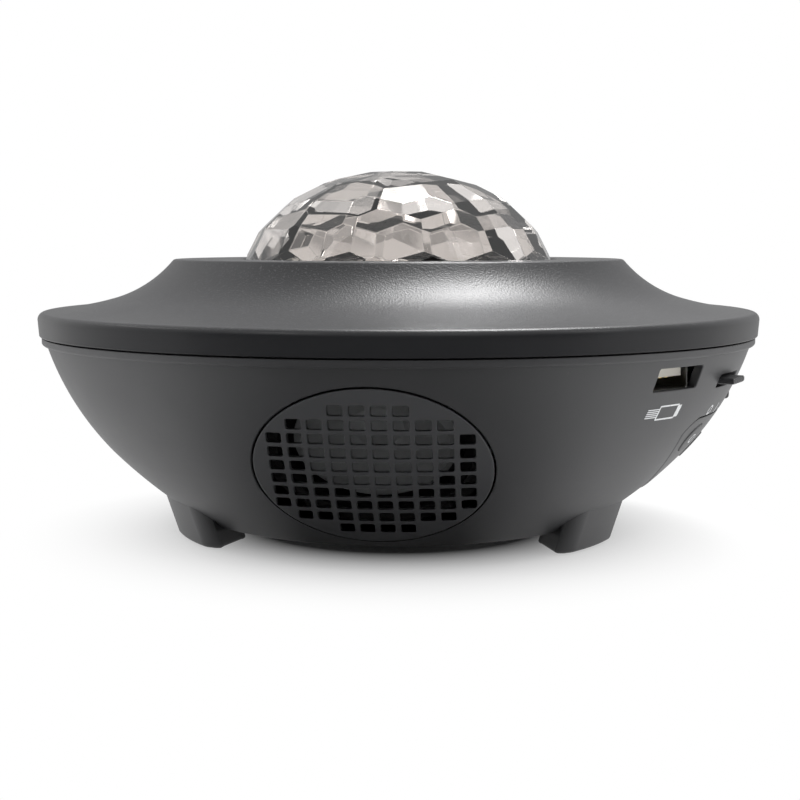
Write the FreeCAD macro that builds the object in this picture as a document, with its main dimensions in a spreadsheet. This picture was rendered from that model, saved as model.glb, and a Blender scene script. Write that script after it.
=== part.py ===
import FreeCAD, Part
import math
import os
import re
import Sketcher

# Round table-top star projector with a built-in loudspeaker.
# Frame: +Z up, origin on the table under the middle of the rim, -Y the side of the speaker grille.
# An azimuth is counted from -Y towards +X.  Lengths are millimetres and angles are degrees.

SIZES = {
    # common
    "wall": 2.0,
    "running_gap": 0.05,
    "part_gap": 0.3,
    "board_thick": 1.2,
    # upper shell
    "rim_radius": 83.0,
    "rim_bottom": 46.2,
    "rim_side": 3.7,
    "rim_corner": 1.6,
    "rim_draft": 0.3,
    "neck_radius": 52.3,
    "neck_height": 63.2,
    "neck_edge": 0.45,
    "neck_slope": 49.3,
    "waist_slope": 16.3,
    "waist_curve": 28.0,
    "skirt_curve": 74.0,
    "dome_opening": 37.0,
    # bowl of the lower shell
    "bowl_lean": 17.7,
    "bowl_curve": 63.6,
    "bilge_lean": 42.5,
    "bilge_curve": 111.5,
    "base_radius": 47.4,
    "base_height": 4.0,
    "base_edge": 1.5,
    "base_slope": 35.2,
    "lip_set": 0.8,
    "lip_height": 1.6,
    "lip_edge": 0.7,
    "lip_step": 1.1,
    "lip_drop": 0.4,
    "tongue_height": 1.8,
    "tongue_wall": 1.3,
    # feet
    "foot_azimuth": 60.0,
    "foot_radius": 52.3,
    "foot_width": 22.4,
    "foot_depth": 12.5,
    "foot_heel": 8.8,
    "foot_corner": 3.5,
    "heel_corner": 1.2,
    "foot_lean": 0.34,
    "foot_edge": 0.8,
    "foot_rise": 13.0,
    "pad_inset": 2.0,
    "pad_thick": 1.2,
    "pad_proud": 0.4,
    # long screws that close the shells
    "post_azimuth": 30.0,
    "post_circle": 43.0,
    "post_radius": 3.2,
    "post_foot": 16.0,
    "pilot_radius": 1.3,
    "screw_radius": 1.25,
    "screw_head": 2.4,
    "screw_head_height": 1.6,
    "screw_length": 14.0,
    "head_seat": 9.5,
    "head_hole": 2.8,
    # small screws
    "small_pilot": 0.9,
    "small_shaft": 0.85,
    "small_head": 1.8,
    "small_head_height": 1.1,
    "small_bite": 4.0,
    "pilot_depth": 6.0,
    # faceted dome
    "dome_radius": 36.0,
    "dome_rise": 25.7,
    "dome_centre": 57.6,
    "dome_wall": 2.6,
    "dome_flange": 39.3,
    "flange_thick": 2.0,
    "ring_thick": 1.8,
    "ring_inner": 33.9,
    "ring_screw_circle": 43.4,
    "ring_azimuth": 90.0,
    # speaker grille
    "grille_half_width": 23.6,
    "grille_half_height": 17.2,
    "grille_centre": 23.15,
    "grille_start": 46.0,
    "grille_groove": 0.35,
    "grille_tilt": 40.6,
    "hole_pitch_across": 4.12,
    "hole_pitch_down": 2.93,
    "hole_width": 3.05,
    "hole_height": 2.1,
    "hole_centre": 22.8,
    "insert_lap": 1.2,
    "lap_thick": 1.2,
    "lap_gap": 0.15,
    # loudspeaker
    "chord_set": 16.4,
    "chord_height": 23.2,
    "seat_depth": 4.4,
    "seat_inner": 19.4,
    "seat_outer": 22.6,
    "speaker_screw_circle": 21.0,
    "speaker_screw": 0.6,
    "speaker_head": 1.2,
    "speaker_screw_length": 2.6,
    "gasket_thick": 0.6,
    "frame_thick": 1.0,
    "basket_depth": 8.0,
    "basket_radius": 13.4,
    "magnet_radius": 12.5,
    "magnet_thick": 8.0,
    "pole_radius": 4.4,
    "coil_radius": 5.4,
    "coil_wall": 0.5,
    "coil_slot": 6.4,
    "cone_edge": 16.4,
    "cone_sheet": 0.4,
    "cone_depth": 4.6,
    "cone_travel": 0.8,
    "cone_sunk": 1.4,
    "cone_lap": 1.0,
    # USB socket
    "usb_azimuth": 49.3,
    "usb_drop": 4.1,
    "usb_opening_width": 14.8,
    "usb_opening_height": 4.7,
    "usb_recess": 2.8,
    "usb_width": 13.2,
    "usb_tall": 5.2,
    "usb_sheet": 0.3,
    "usb_length": 13.5,
    "usb_tongue_width": 11.1,
    "usb_tongue_thick": 1.8,
    "usb_tongue_back": 1.0,
    "usb_block_depth": 3.0,
    # slide switch
    "switch_azimuth": 67.9,
    "switch_rise": 0.6,
    "slot_length": 14.0,
    "slot_height": 2.65,
    "tab_length": 9.0,
    "tab_thick": 1.3,
    "tab_proud": 3.0,
    "tab_root": 4.3,
    "switch_travel": 4.0,
    "lever_width": 2.0,
    "lever_thick": 0.6,
    "lever_length": 2.4,
    "switch_length": 12.0,
    "switch_depth": 4.0,
    "switch_tall": 1.9,
    # power socket
    "jack_azimuth": 85.0,
    "jack_drop": 2.5,
    "jack_radius": 2.4,
    "jack_bore": 1.8,
    "jack_bore_depth": 8.5,
    "jack_reach": 0.8,
    "jack_width": 6.4,
    "jack_depth": 10.0,
    "jack_shoulder": 2.4,
    "jack_pin_radius": 0.6,
    # board behind the sockets
    "port_board_set": 7.1,
    "port_board_depth": 11.5,
    "port_board_from": 38.0,
    "port_board_span": 58.0,
    "port_post_radius": 2.2,
    "port_post_set": 3.1,
    "port_post_azimuth": 40.6,
    "port_bracket_azimuth": 77.0,
    "port_bracket_depth": 6.5,
    "port_ledge_azimuth": 93.5,
    "port_ledge_width": 5.0,
    "port_ledge_tall": 4.6,
    "port_ledge_depth": 2.5,
    # control panel with push buttons
    "panel_top": 29.9,
    "panel_bottom": 9.8,
    "panel_curve": 46.3,
    "panel_corner": 3.0,
    "panel_tilt": 40.5,
    "panel_groove": 0.25,
    "panel_start": 46.0,
    "button_radius": 3.75,
    "button_gap": 0.25,
    "button_proud": 0.5,
    "button_collar": 0.7,
    "button_travel": 0.6,
    "button_stem": 1.5,
    "button_board_drop": 13.9,
    "button_board_length": 62.0,
    "button_board_width": 11.0,
    "panel_post_offset": 21.0,
    "panel_post_radius": 1.9,
    "tact_width": 4.5,
    "tact_body": 1.6,
    "tact_plunger": 0.7,
    "tact_plunger_radius": 1.2,
    # deck that carries the light source and the turning disc
    "deck_radius": 37.5,
    "deck_drop": 17.2,
    "deck_thick": 2.0,
    "deck_post_circle": 44.0,
    "deck_post_radius": 3.0,
    "deck_arm_width": 6.0,
    "deck_opening": 14.0,
    "deck_lobe_width": 17.0,
    "deck_lobe_reach": 45.0,
    "hub_radius": 3.4,
    "hub_height": 5.6,
    "spoke_width": 2.4,
    # turning disc with its gear ring
    "disc_drop": 0.7,
    "disc_thick": 2.4,
    "gear_teeth": 84.0,
    "pinion_teeth": 12.0,
    "tooth_module": 0.8,
    "tooth_addendum": 0.62,
    "tooth_dedendum": 0.92,
    "tooth_root_share": 0.62,
    "tooth_pitch_share": 0.46,
    "tooth_tip_share": 0.24,
    "ring_gear_inner": 31.2,
    "web_thick": 0.8,
    "web_width": 4.0,
    "disc_hub_radius": 4.0,
    "ripple_thick": 1.2,
    "axle_radius": 1.0,
    "axle_head": 2.2,
    "axle_head_height": 0.8,
    # motor
    "motor_shaft_radius": 1.5,
    "shaft_proud": 1.0,
    "shaft_sunk": 2.0,
    "gearbox_width": 12.0,
    "gearbox_depth": 10.0,
    "gearbox_tall": 9.0,
    "motor_can_radius": 6.0,
    "motor_can_tall": 15.0,
    "motor_can_flat": 10.0,
    # light source
    "lamp_outer": 15.0,
    "lamp_inner": 12.8,
    "lamp_ledge": 11.6,
    "lamp_tall": 8.8,
    "lamp_seat": 4.0,
    "lamp_flange": 20.0,
    "lamp_flange_thick": 1.6,
    "lamp_screw_circle": 17.6,
    "lamp_screw_azimuth": 50.0,
    "sink_radius": 16.0,
    "sink_base": 2.0,
    "sink_fin": 5.0,
    "fin_thick": 1.0,
    "fin_pitch": 4.0,
    "led_width": 3.5,
    "led_thick": 1.2,
    "led_circle": 5.0,
    "lens_radius": 12.6,
    "lens_edge": 1.0,
    "lens_curve": 26.0,
    # laser module
    "laser_circle": 26.6,
    "laser_azimuth": 90.0,
    "laser_radius": 4.0,
    "laser_length": 16.0,
    "laser_collar": 5.8,
    "laser_collar_thick": 1.4,
    "laser_window": 0.8,
    "laser_window_depth": 3.0,
    # main board
    "main_length": 54.0,
    "main_width": 38.0,
    "main_thick": 1.6,
    "standoff_height": 6.0,
    "standoff_radius": 2.6,
    "standoff_inset": 4.0,
    "capacitor_radius": 4.0,
    "capacitor_tall": 9.0,
    "capacitor_place": 11.0,
    "radio_length": 17.0,
    "radio_width": 12.0,
    "radio_tall": 2.4,
}

GRILLE_ROWS = (4, 8, 10, 10, 10, 10, 10, 10, 8, 4)
# Latitude on the dome, number of facets in the row, azimuth of the first facet.
DOME_ROWS = ((3.5, 18, 16.0), (20.0, 18, 6.0), (37.0, 15, 18.0), (54.0, 11, 4.0), (71.0, 6, 25.0), (90.0, 1, 0.0))
# Distance along the panel and height of each push button, with the depth of its collar's back below the panel.
BUTTONS = ((-27.5, 25.0, 6.1), (-14.5, 21.9, 5.0), (0.0, 20.5, 4.3), (14.5, 21.9, 5.0), (27.5, 25.0, 6.1))

document = FreeCAD.newDocument("star_projector")
sheet = document.addObject("Spreadsheet::Sheet", "sizes")
for row, (alias, value) in enumerate(SIZES.items(), start=1):
    sheet.set("A%d" % row, alias)
    sheet.set("B%d" % row, str(value))
    sheet.setAlias("B%d" % row, alias)
document.recompute()

sub_parts = []


# ---------------------------------------------------------------- helpers

def bound(text):
    """The expression with each size written as a cell of the sheet."""
    return re.sub(r"[a-z]\w*", lambda found: "sizes." + found.group(0) if found.group(0) in SIZES
                  else found.group(0), str(text))


def size(text):
    """The present value of an expression of sizes."""
    return float(sheet.evalExpression(str(text)))


def at(x="0", y="0", z="0", tilt="0", azimuth="0"):
    """Placement that tips about X, moves to (x, y, z), then swings about Z to an azimuth."""
    shift = "create(<<placement>>; create(<<vector>>; %s; %s; %s); " % (x, y, z)
    shift += "create(<<rotation>>; create(<<vector>>; 1; 0; 0); %s))" % tilt
    if azimuth == "0":
        return shift
    swing = "create(<<placement>>; create(<<vector>>; 0; 0; 0); "
    swing += "create(<<rotation>>; create(<<vector>>; 0; 0; 1); %s))" % azimuth
    return swing + " * " + shift


def placed(thing, placement):
    """Bind the object's placement to the sheet."""
    if placement:
        thing.setExpression("Placement", bound(placement))
    return thing


def named(thing, label):
    """Mark an object as a finished sub-part."""
    thing.Label = label
    sub_parts.append(thing)
    return thing


def box(name, length, width, height, placement=""):
    """Box standing on z = 0 with its middle on the Z axis."""
    thing = document.addObject("Part::Box", name)
    thing.setExpression("Length", bound(length))
    thing.setExpression("Width", bound(width))
    thing.setExpression("Height", bound(height))
    half = at(x="-(%s) / 2" % length, y="-(%s) / 2" % width)
    return placed(thing, (placement + " * " + half) if placement else half)


def cylinder(name, radius, height, placement="", angle="360"):
    """Cylinder, or a sector of one, standing on z = 0."""
    thing = document.addObject("Part::Cylinder", name)
    thing.setExpression("Radius", bound(radius))
    thing.setExpression("Height", bound(height))
    thing.setExpression("Angle", bound(angle))
    return placed(thing, placement)


def cut(name, base, *tools):
    """Base less all the tools."""
    thing = document.addObject("Part::Cut", name)
    thing.Base = base
    thing.Tool = tools[0] if len(tools) == 1 else fused(name + "_tools", *tools)
    return thing


def fused(name, *shapes):
    """The shapes made one."""
    thing = document.addObject("Part::MultiFuse", name)
    thing.Shapes = list(shapes)
    return thing


def common(name, *shapes):
    """What the shapes share."""
    thing = document.addObject("Part::MultiCommon", name)
    thing.Shapes = list(shapes)
    return thing


def gathered(name, shapes):
    """Separate solids kept together as one object."""
    thing = document.addObject("Part::Compound", name)
    thing.Links = list(shapes)
    return thing


def sketched(body, name, plane, corners):
    """Closed outline on an origin plane of the body.

    A corner is (x, y) or (x, y, radius of the edge that leaves it).  A positive radius makes an arc that
    bulges to the right of the way round, a negative one an arc that bulges to the left.
    """
    sketch = body.newObject("Sketcher::SketchObject", name)
    sketch.AttachmentSupport = [(next(o for o in body.Origin.OriginFeatures if o.Role == plane), "")]
    sketch.MapMode = "FlatFace"
    points = [FreeCAD.Vector(size(corner[0]), size(corner[1]), 0) for corner in corners]
    starts = []
    ends = []
    for index, corner in enumerate(corners):
        here = points[index]
        there = points[(index + 1) % len(corners)]
        if len(corner) == 2:
            edge = sketch.addGeometry(Part.LineSegment(here, there))
            starts.append((edge, 1))
            ends.append((edge, 2))
            continue
        radius = size(corner[2])
        chord = there - here
        right = FreeCAD.Vector(chord.y, -chord.x, 0) / chord.Length
        drop = math.sqrt(radius ** 2 - chord.Length ** 2 / 4)
        centre = (here + there) / 2 - right * math.copysign(drop, radius)
        first = here - centre if radius > 0 else there - centre
        begin = math.atan2(first.y, first.x)
        sweep = 2 * math.asin(chord.Length / 2 / abs(radius))
        circle = Part.Circle(centre, FreeCAD.Vector(0, 0, 1), abs(radius))
        edge = sketch.addGeometry(Part.ArcOfCircle(circle, begin, begin + sweep))
        starts.append((edge, 1 if radius > 0 else 2))
        ends.append((edge, 2 if radius > 0 else 1))
    for index, corner in enumerate(corners):
        following = (index + 1) % len(corners)
        sketch.addConstraint(Sketcher.Constraint("Coincident", *ends[index], *starts[following]))
        for kind, text in zip(("DistanceX", "DistanceY"), corner):
            rule = sketch.addConstraint(Sketcher.Constraint(kind, -1, 1, *starts[index], size(text)))
            sketch.setExpression("Constraints[%d]" % rule, bound(text))
        if len(corner) == 3:
            rule = sketch.addConstraint(Sketcher.Constraint("Radius", starts[index][0], abs(size(corner[2]))))
            sketch.setExpression("Constraints[%d]" % rule, bound("abs(%s)" % corner[2]))
    return sketch


def turned(name, corners, placement=""):
    """Solid of revolution about local Z.  The outline is given as (radius, height)."""
    body = document.addObject("PartDesign::Body", name)
    sketch = sketched(body, name + "_outline", "XZ_Plane", corners)
    feature = body.newObject("PartDesign::Revolution", name + "_turn")
    feature.Profile = sketch
    feature.ReferenceAxis = (sketch, ["V_Axis"])
    feature.Angle = 360
    return placed(body, placement)


def raised(name, plane, corners, height, placement="", slant=None):
    """Outline on an origin plane, raised square to it or along a slanted direction."""
    body = document.addObject("PartDesign::Body", name)
    sketch = sketched(body, name + "_outline", plane, corners)
    feature = body.newObject("PartDesign::Pad", name + "_pad")
    feature.Profile = sketch
    feature.setExpression("Length", bound(height))
    if slant:
        feature.UseCustomVector = True
        feature.Direction = FreeCAD.Vector(*slant)
        feature.AlongSketchNormal = True
    return placed(body, placement)


def ring(name, inner, outer, height, placement=""):
    """Flat ring standing on z = 0."""
    corners = [(inner, "0"), (outer, "0"), (outer, height), (inner, height)]
    return turned(name, corners, placement)


def screw(name, shaft, length, head, head_height, placement):
    """Pan-head screw with its shaft below z = 0 and its head above; the thread is left plain."""
    corners = [
        ("0", "-(%s)" % length),
        (shaft, "-(%s)" % length),
        (shaft, "0"),
        (head, "0"),
        (head, "%s * 0.5" % head_height),
        ("%s * 0.75" % head, head_height),
        ("0", head_height),
    ]
    return turned(name, corners, placement)


def small_screw(name, length, placement):
    """One of the small screws used inside."""
    return screw(name, "small_shaft", length, "small_head", "small_head_height", placement)


# ---------------------------------------------------------------- derived places

WAIST_R = "(neck_radius + neck_edge * cos(neck_slope) + waist_curve * (sin(neck_slope) - sin(waist_slope)))"
WAIST_Z = "(neck_height - neck_edge * sin(neck_slope) - waist_curve * (cos(waist_slope) - cos(neck_slope)))"
LIP_R = "(rim_radius - lip_set)"
BOWL_R = "(rim_radius - lip_set - lip_step)"
BOWL_TOP = "(rim_bottom - lip_height - lip_drop)"
BILGE_R = "(%s - bowl_curve * (cos(bowl_lean) - cos(bilge_lean)))" % BOWL_R
BILGE_Z = "(%s - bowl_curve * (sin(bilge_lean) - sin(bowl_lean)))" % BOWL_TOP
PLATE_UNDER = "(neck_height - wall)"
FLOOR_TOP = "(base_height + wall)"
TONGUE_OUTER = "(rim_radius - rim_draft - wall - part_gap)"
MAIN_BOARD_Z = "(%s + standoff_height)" % FLOOR_TOP
USB_Z = "(%s - usb_drop)" % BOWL_TOP
PORT_BOARD_TOP = "(%s - usb_tall / 2)" % USB_Z
PORT_BOARD_Z = "(%s - board_thick)" % PORT_BOARD_TOP
PORT_BOARD_OUTER = "(%s - port_board_set)" % BOWL_R
PORT_BOARD_INNER = "(%s - port_board_depth)" % PORT_BOARD_OUTER
PORT_POST_CIRCLE = "(%s + port_post_set)" % PORT_BOARD_INNER
PORT_BRACKET_CIRCLE = "(%s - port_bracket_depth + port_ledge_width / 2)" % PORT_BOARD_OUTER
SWITCH_Z = "(%s + switch_rise)" % PORT_BOARD_TOP
JACK_Z = "(%s - jack_drop)" % PORT_BOARD_Z
PANEL_CENTRE = "(panel_bottom + panel_curve)"
PINION_CENTRE = "(tooth_module * (gear_teeth + pinion_teeth) / 2)"
DECK_Z = "(neck_height - deck_drop)"
DISC_Z = "(%s + hub_height + running_gap * 2 + disc_drop)" % DECK_Z
DISC_TOP = "(%s + disc_thick)" % DISC_Z
LAMP_FOOT = "(%s - lamp_tall)" % DECK_Z
SPEAKER_TILT = "90 + grille_tilt"
PANEL_TILT = "90 + panel_tilt"


def bowl_face(height):
    """Outer radius of the bowl at a height on its upper curve."""
    centre_r = "%s - bowl_curve * cos(bowl_lean)" % BOWL_R
    centre_z = "%s + bowl_curve * sin(bowl_lean)" % BOWL_TOP
    return "(%s + sqrt(bowl_curve ^ 2 - (%s - %s) ^ 2))" % (centre_r, centre_z, height)


def bowl_outline(inset, top):
    """Corners of the bowl's outside set in by a distance, from a top height down to the middle of the base."""
    return [
        ("%s - (%s) * cos(bowl_lean)" % (BOWL_R, inset), top),
        ("%s - (%s) * cos(bowl_lean)" % (BOWL_R, inset), "%s + (%s) * sin(bowl_lean)" % (BOWL_TOP, inset),
         "-(bowl_curve - (%s))" % inset),
        ("%s - (%s) * cos(bilge_lean)" % (BILGE_R, inset), "%s + (%s) * sin(bilge_lean)" % (BILGE_Z, inset),
         "-(bilge_curve - (%s))" % inset),
        ("base_radius + base_edge * cos(base_slope) - (%s) * sin(base_slope)" % inset,
         "base_height + base_edge * sin(base_slope) + (%s) * cos(base_slope)" % inset,
         "-(base_edge / tan(base_slope / 2) - (%s))" % inset),
        ("base_radius - base_edge", "base_height + (%s)" % inset),
        ("0", "base_height + (%s)" % inset),
    ]


def bowl_solid(name, inset, top="rim_bottom"):
    """Solid that fills the bowl's outside set in by a distance, closed flat at a height."""
    return turned(name, bowl_outline(inset, top) + [("0", top)])


def along_speaker(depth, across="0"):
    """Placement on the speaker's axis, a depth behind the plane of the grille's edge, +Z outwards."""
    return at(y="-(%s - chord_set - (%s) * cos(grille_tilt))" % (BOWL_R, depth),
              z="chord_height + (%s) * sin(grille_tilt)" % depth, x=across, tilt=SPEAKER_TILT)


def along_panel(out, up, across, azimuth="90"):
    """Placement square to the control panel: distance out, distance up the panel, distance along it."""
    reach = "((%s) * cos(panel_tilt) + (%s) * sin(panel_tilt))" % (out, up)
    height = "((%s) * cos(panel_tilt) - (%s) * sin(panel_tilt))" % (up, out)
    return at(x=across, y="-" + reach, z=height, tilt=PANEL_TILT, azimuth=azimuth)


def panel_reach(across, height):
    """How far out the bowl's face lies at a place on the control panel."""
    return "sqrt(%s ^ 2 - %s ^ 2)" % (bowl_face(height), across)


def panel_out(across, height):
    """Distance of a place on the panel's face from the middle of the frame, square to the panel."""
    return "(%s * cos(panel_tilt) - %s * sin(panel_tilt))" % (panel_reach(across, height), height)


def panel_up(across, height):
    """Distance of a place on the panel's face from the middle of the frame, up the panel."""
    return "(%s * sin(panel_tilt) + %s * cos(panel_tilt))" % (panel_reach(across, height), height)


USB_FRONT = "(%s - usb_recess)" % bowl_face(USB_Z)
BUTTON_PLANE = "(%s - button_board_drop)" % panel_out(*BUTTONS[2][:2])
BUTTON_BOARD_UP = "((%s + %s) / 2)" % (panel_up(*BUTTONS[0][:2]), panel_up(*BUTTONS[2][:2]))


# ---------------------------------------------------------------- shells and feet

def make_upper_shell():
    """Flared cover: flat ring round the dome, concave skirt, rounded rim, three long screw posts."""
    corners = [
        ("dome_opening", "neck_height"),
        ("neck_radius - neck_edge", "neck_height", "-(neck_edge / tan(neck_slope / 2))"),
        ("neck_radius + neck_edge * cos(neck_slope)", "neck_height - neck_edge * sin(neck_slope)",
         "waist_curve"),
        (WAIST_R, WAIST_Z, "skirt_curve"),
        ("rim_radius - rim_corner", "rim_bottom + rim_side + rim_corner", "-rim_corner"),
        ("rim_radius", "rim_bottom + rim_side"),
        ("rim_radius - rim_draft", "rim_bottom"),
        ("rim_radius - rim_draft - wall", "rim_bottom"),
        ("rim_radius - wall", "rim_bottom + rim_side - wall * 0.4", "rim_corner"),
        ("rim_radius - wall - rim_corner / 2", "rim_bottom + rim_side + rim_corner - wall",
         "-(skirt_curve + wall)"),
        ("%s - wall * sin(waist_slope)" % WAIST_R, "%s - wall * cos(waist_slope)" % WAIST_Z,
         "-(waist_curve + wall)"),
        ("neck_radius - wall / 2", PLATE_UNDER),
        ("dome_opening", PLATE_UNDER),
    ]
    posts = []
    pilots = []
    for number in range(3):
        swing = "post_azimuth + %d" % (120 * number)
        foot = at(y="-post_circle", z="post_foot", azimuth=swing)
        posts.append(cylinder("shell_post_%d" % number, "post_radius", "%s - post_foot" % PLATE_UNDER, foot))
        pilots.append(cylinder("shell_pilot_%d" % number, "pilot_radius", "screw_length", foot))
        foot = at(y="-deck_post_circle", z=DECK_Z + " + deck_thick", azimuth="%d" % (120 * number))
        posts.append(cylinder("deck_post_%d" % number, "deck_post_radius",
                              "%s - %s - deck_thick" % (PLATE_UNDER, DECK_Z), foot))
        pilots.append(cylinder("deck_pilot_%d" % number, "small_pilot", "pilot_depth", foot))
        foot = at(y="-ring_screw_circle", z="%s - flange_thick" % PLATE_UNDER,
                  azimuth="ring_azimuth + %d" % (120 * number))
        posts.append(cylinder("ring_boss_%d" % number, "small_head + small_pilot", "flange_thick", foot))
        pilots.append(cylinder("ring_pilot_%d" % number, "small_pilot", "flange_thick + wall / 2", foot))
    whole = fused("cover_with_posts", turned("cover", corners), *posts)
    named(cut("cover_drilled", whole, *pilots), "upper_shell")


def foot_outline(inset):
    """Plan of one foot at azimuth 0: a rounded wedge, wide outside and narrow towards the middle."""
    front = "(foot_radius - (%s))" % inset
    corner = "(foot_corner - (%s) * 0.8)" % inset
    half = "(foot_width / 2 - (%s))" % inset
    heel = "(foot_heel / 2 - (%s) * 0.5)" % inset
    shoulder = "(-sqrt(%s ^ 2 - (%s - %s) ^ 2))" % (front, half, corner)
    back = "(foot_depth - foot_radius - (%s))" % inset
    return [
        ("-(%s - %s)" % (half, corner), shoulder, front),
        ("%s - %s" % (half, corner), shoulder, "%s * 1.05" % corner),
        (half, "%s + %s" % (shoulder, corner)),
        (heel, "%s - heel_corner" % back, "heel_corner * 1.5"),
        ("%s - heel_corner" % heel, back),
        ("-(%s - heel_corner)" % heel, back, "heel_corner * 1.5"),
        ("-" + heel, "%s - heel_corner" % back),
        ("-" + half, "%s + %s" % (shoulder, corner), "%s * 1.05" % corner),
    ]


def make_foot(number, hollow):
    """One foot of the lower shell, leaning outwards, with the pocket for its rubber pad."""
    swing = "foot_azimuth + %d" % (120 * number)
    block = raised("foot_block_%d" % number, "XY_Plane", foot_outline("0"), "foot_rise",
                   slant=(0, -size("foot_lean"), 1))
    document.recompute()
    pad = block.Tip
    faces = pad.Shape.Faces
    lowest = min(range(len(faces)), key=lambda index: faces[index].CenterOfMass.z)
    rounding = block.newObject("PartDesign::Fillet", "foot_edge_%d" % number)
    rounding.Base = (pad, ["Face%d" % (lowest + 1)])
    rounding.setExpression("Radius", bound("foot_edge"))
    placed(block, at(z="pad_proud", azimuth=swing))
    pocket = raised("pad_pocket_%d" % number, "XY_Plane", foot_outline("pad_inset"), "pad_thick",
                    at(azimuth=swing))
    named(raised("pad_%d" % number, "XY_Plane", foot_outline("pad_inset + part_gap / 2"), "pad_thick",
                 at(azimuth=swing)), "foot_pad_%d" % (number + 1))
    return cut("foot_%d" % number, block, pocket, hollow)


def grille_prism(name, extra, start="grille_start"):
    """Elliptical column along -Y that cuts the speaker grille out of the bowl."""
    edge = document.addObject("Part::Ellipse", name + "_edge")
    edge.setExpression("MajorRadius", bound("grille_half_width + (%s)" % extra))
    edge.setExpression("MinorRadius", bound("grille_half_height + (%s)" % extra))
    placed(edge, at(y="-(%s)" % start, z="grille_centre", tilt="90"))
    column = document.addObject("Part::Extrusion", name)
    column.Base = edge
    column.DirMode = "Custom"
    column.Dir = FreeCAD.Vector(0, -1, 0)
    column.setExpression("LengthFwd", bound("rim_radius + wall"))
    column.Solid = True
    return column


def panel_prism(name, extra):
    """Column along +X with the control panel's outline: flat top, round bottom, rounded corners."""
    curve = "(panel_curve + (%s))" % extra
    top = "(panel_top + (%s))" % extra
    low = "(%s - panel_corner)" % top
    wide = "sqrt(%s ^ 2 - (%s - %s) ^ 2)" % (curve, PANEL_CENTRE, low)
    corners = [
        ("-(%s)" % wide, low, curve),
        (wide, low, "panel_corner * 1.1"),
        ("%s - panel_corner" % wide, top),
        ("-(%s - panel_corner)" % wide, top, "panel_corner * 1.1"),
    ]
    return raised(name, "YZ_Plane", corners, "rim_radius + wall - panel_start", at(x="panel_start"))


def shell_outline():
    """Outline of the bowl's wall with its lip and the tongue that centres the cover."""
    inside = bowl_outline("wall", BOWL_TOP)[1:]
    upward = [inside[-1][:2]]
    for index in range(len(inside) - 2, -1, -1):
        radius = inside[index][2:]
        if radius:
            upward[-1] = upward[-1][:2] + (radius[0][1:],)
        upward.append(inside[index][:2])
    corners = [
        (LIP_R, "rim_bottom - part_gap"),
        (LIP_R, "rim_bottom - lip_height", "-lip_edge"),
        ("%s - lip_edge" % LIP_R, BOWL_TOP),
    ]
    corners += bowl_outline("0", BOWL_TOP)[1:]
    corners += upward
    corners += [
        ("%s - tongue_wall" % TONGUE_OUTER, "rim_bottom"),
        ("%s - tongue_wall" % TONGUE_OUTER, "rim_bottom + tongue_height"),
        (TONGUE_OUTER, "rim_bottom + tongue_height"),
        (TONGUE_OUTER, "rim_bottom - part_gap"),
    ]
    return corners


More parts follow.
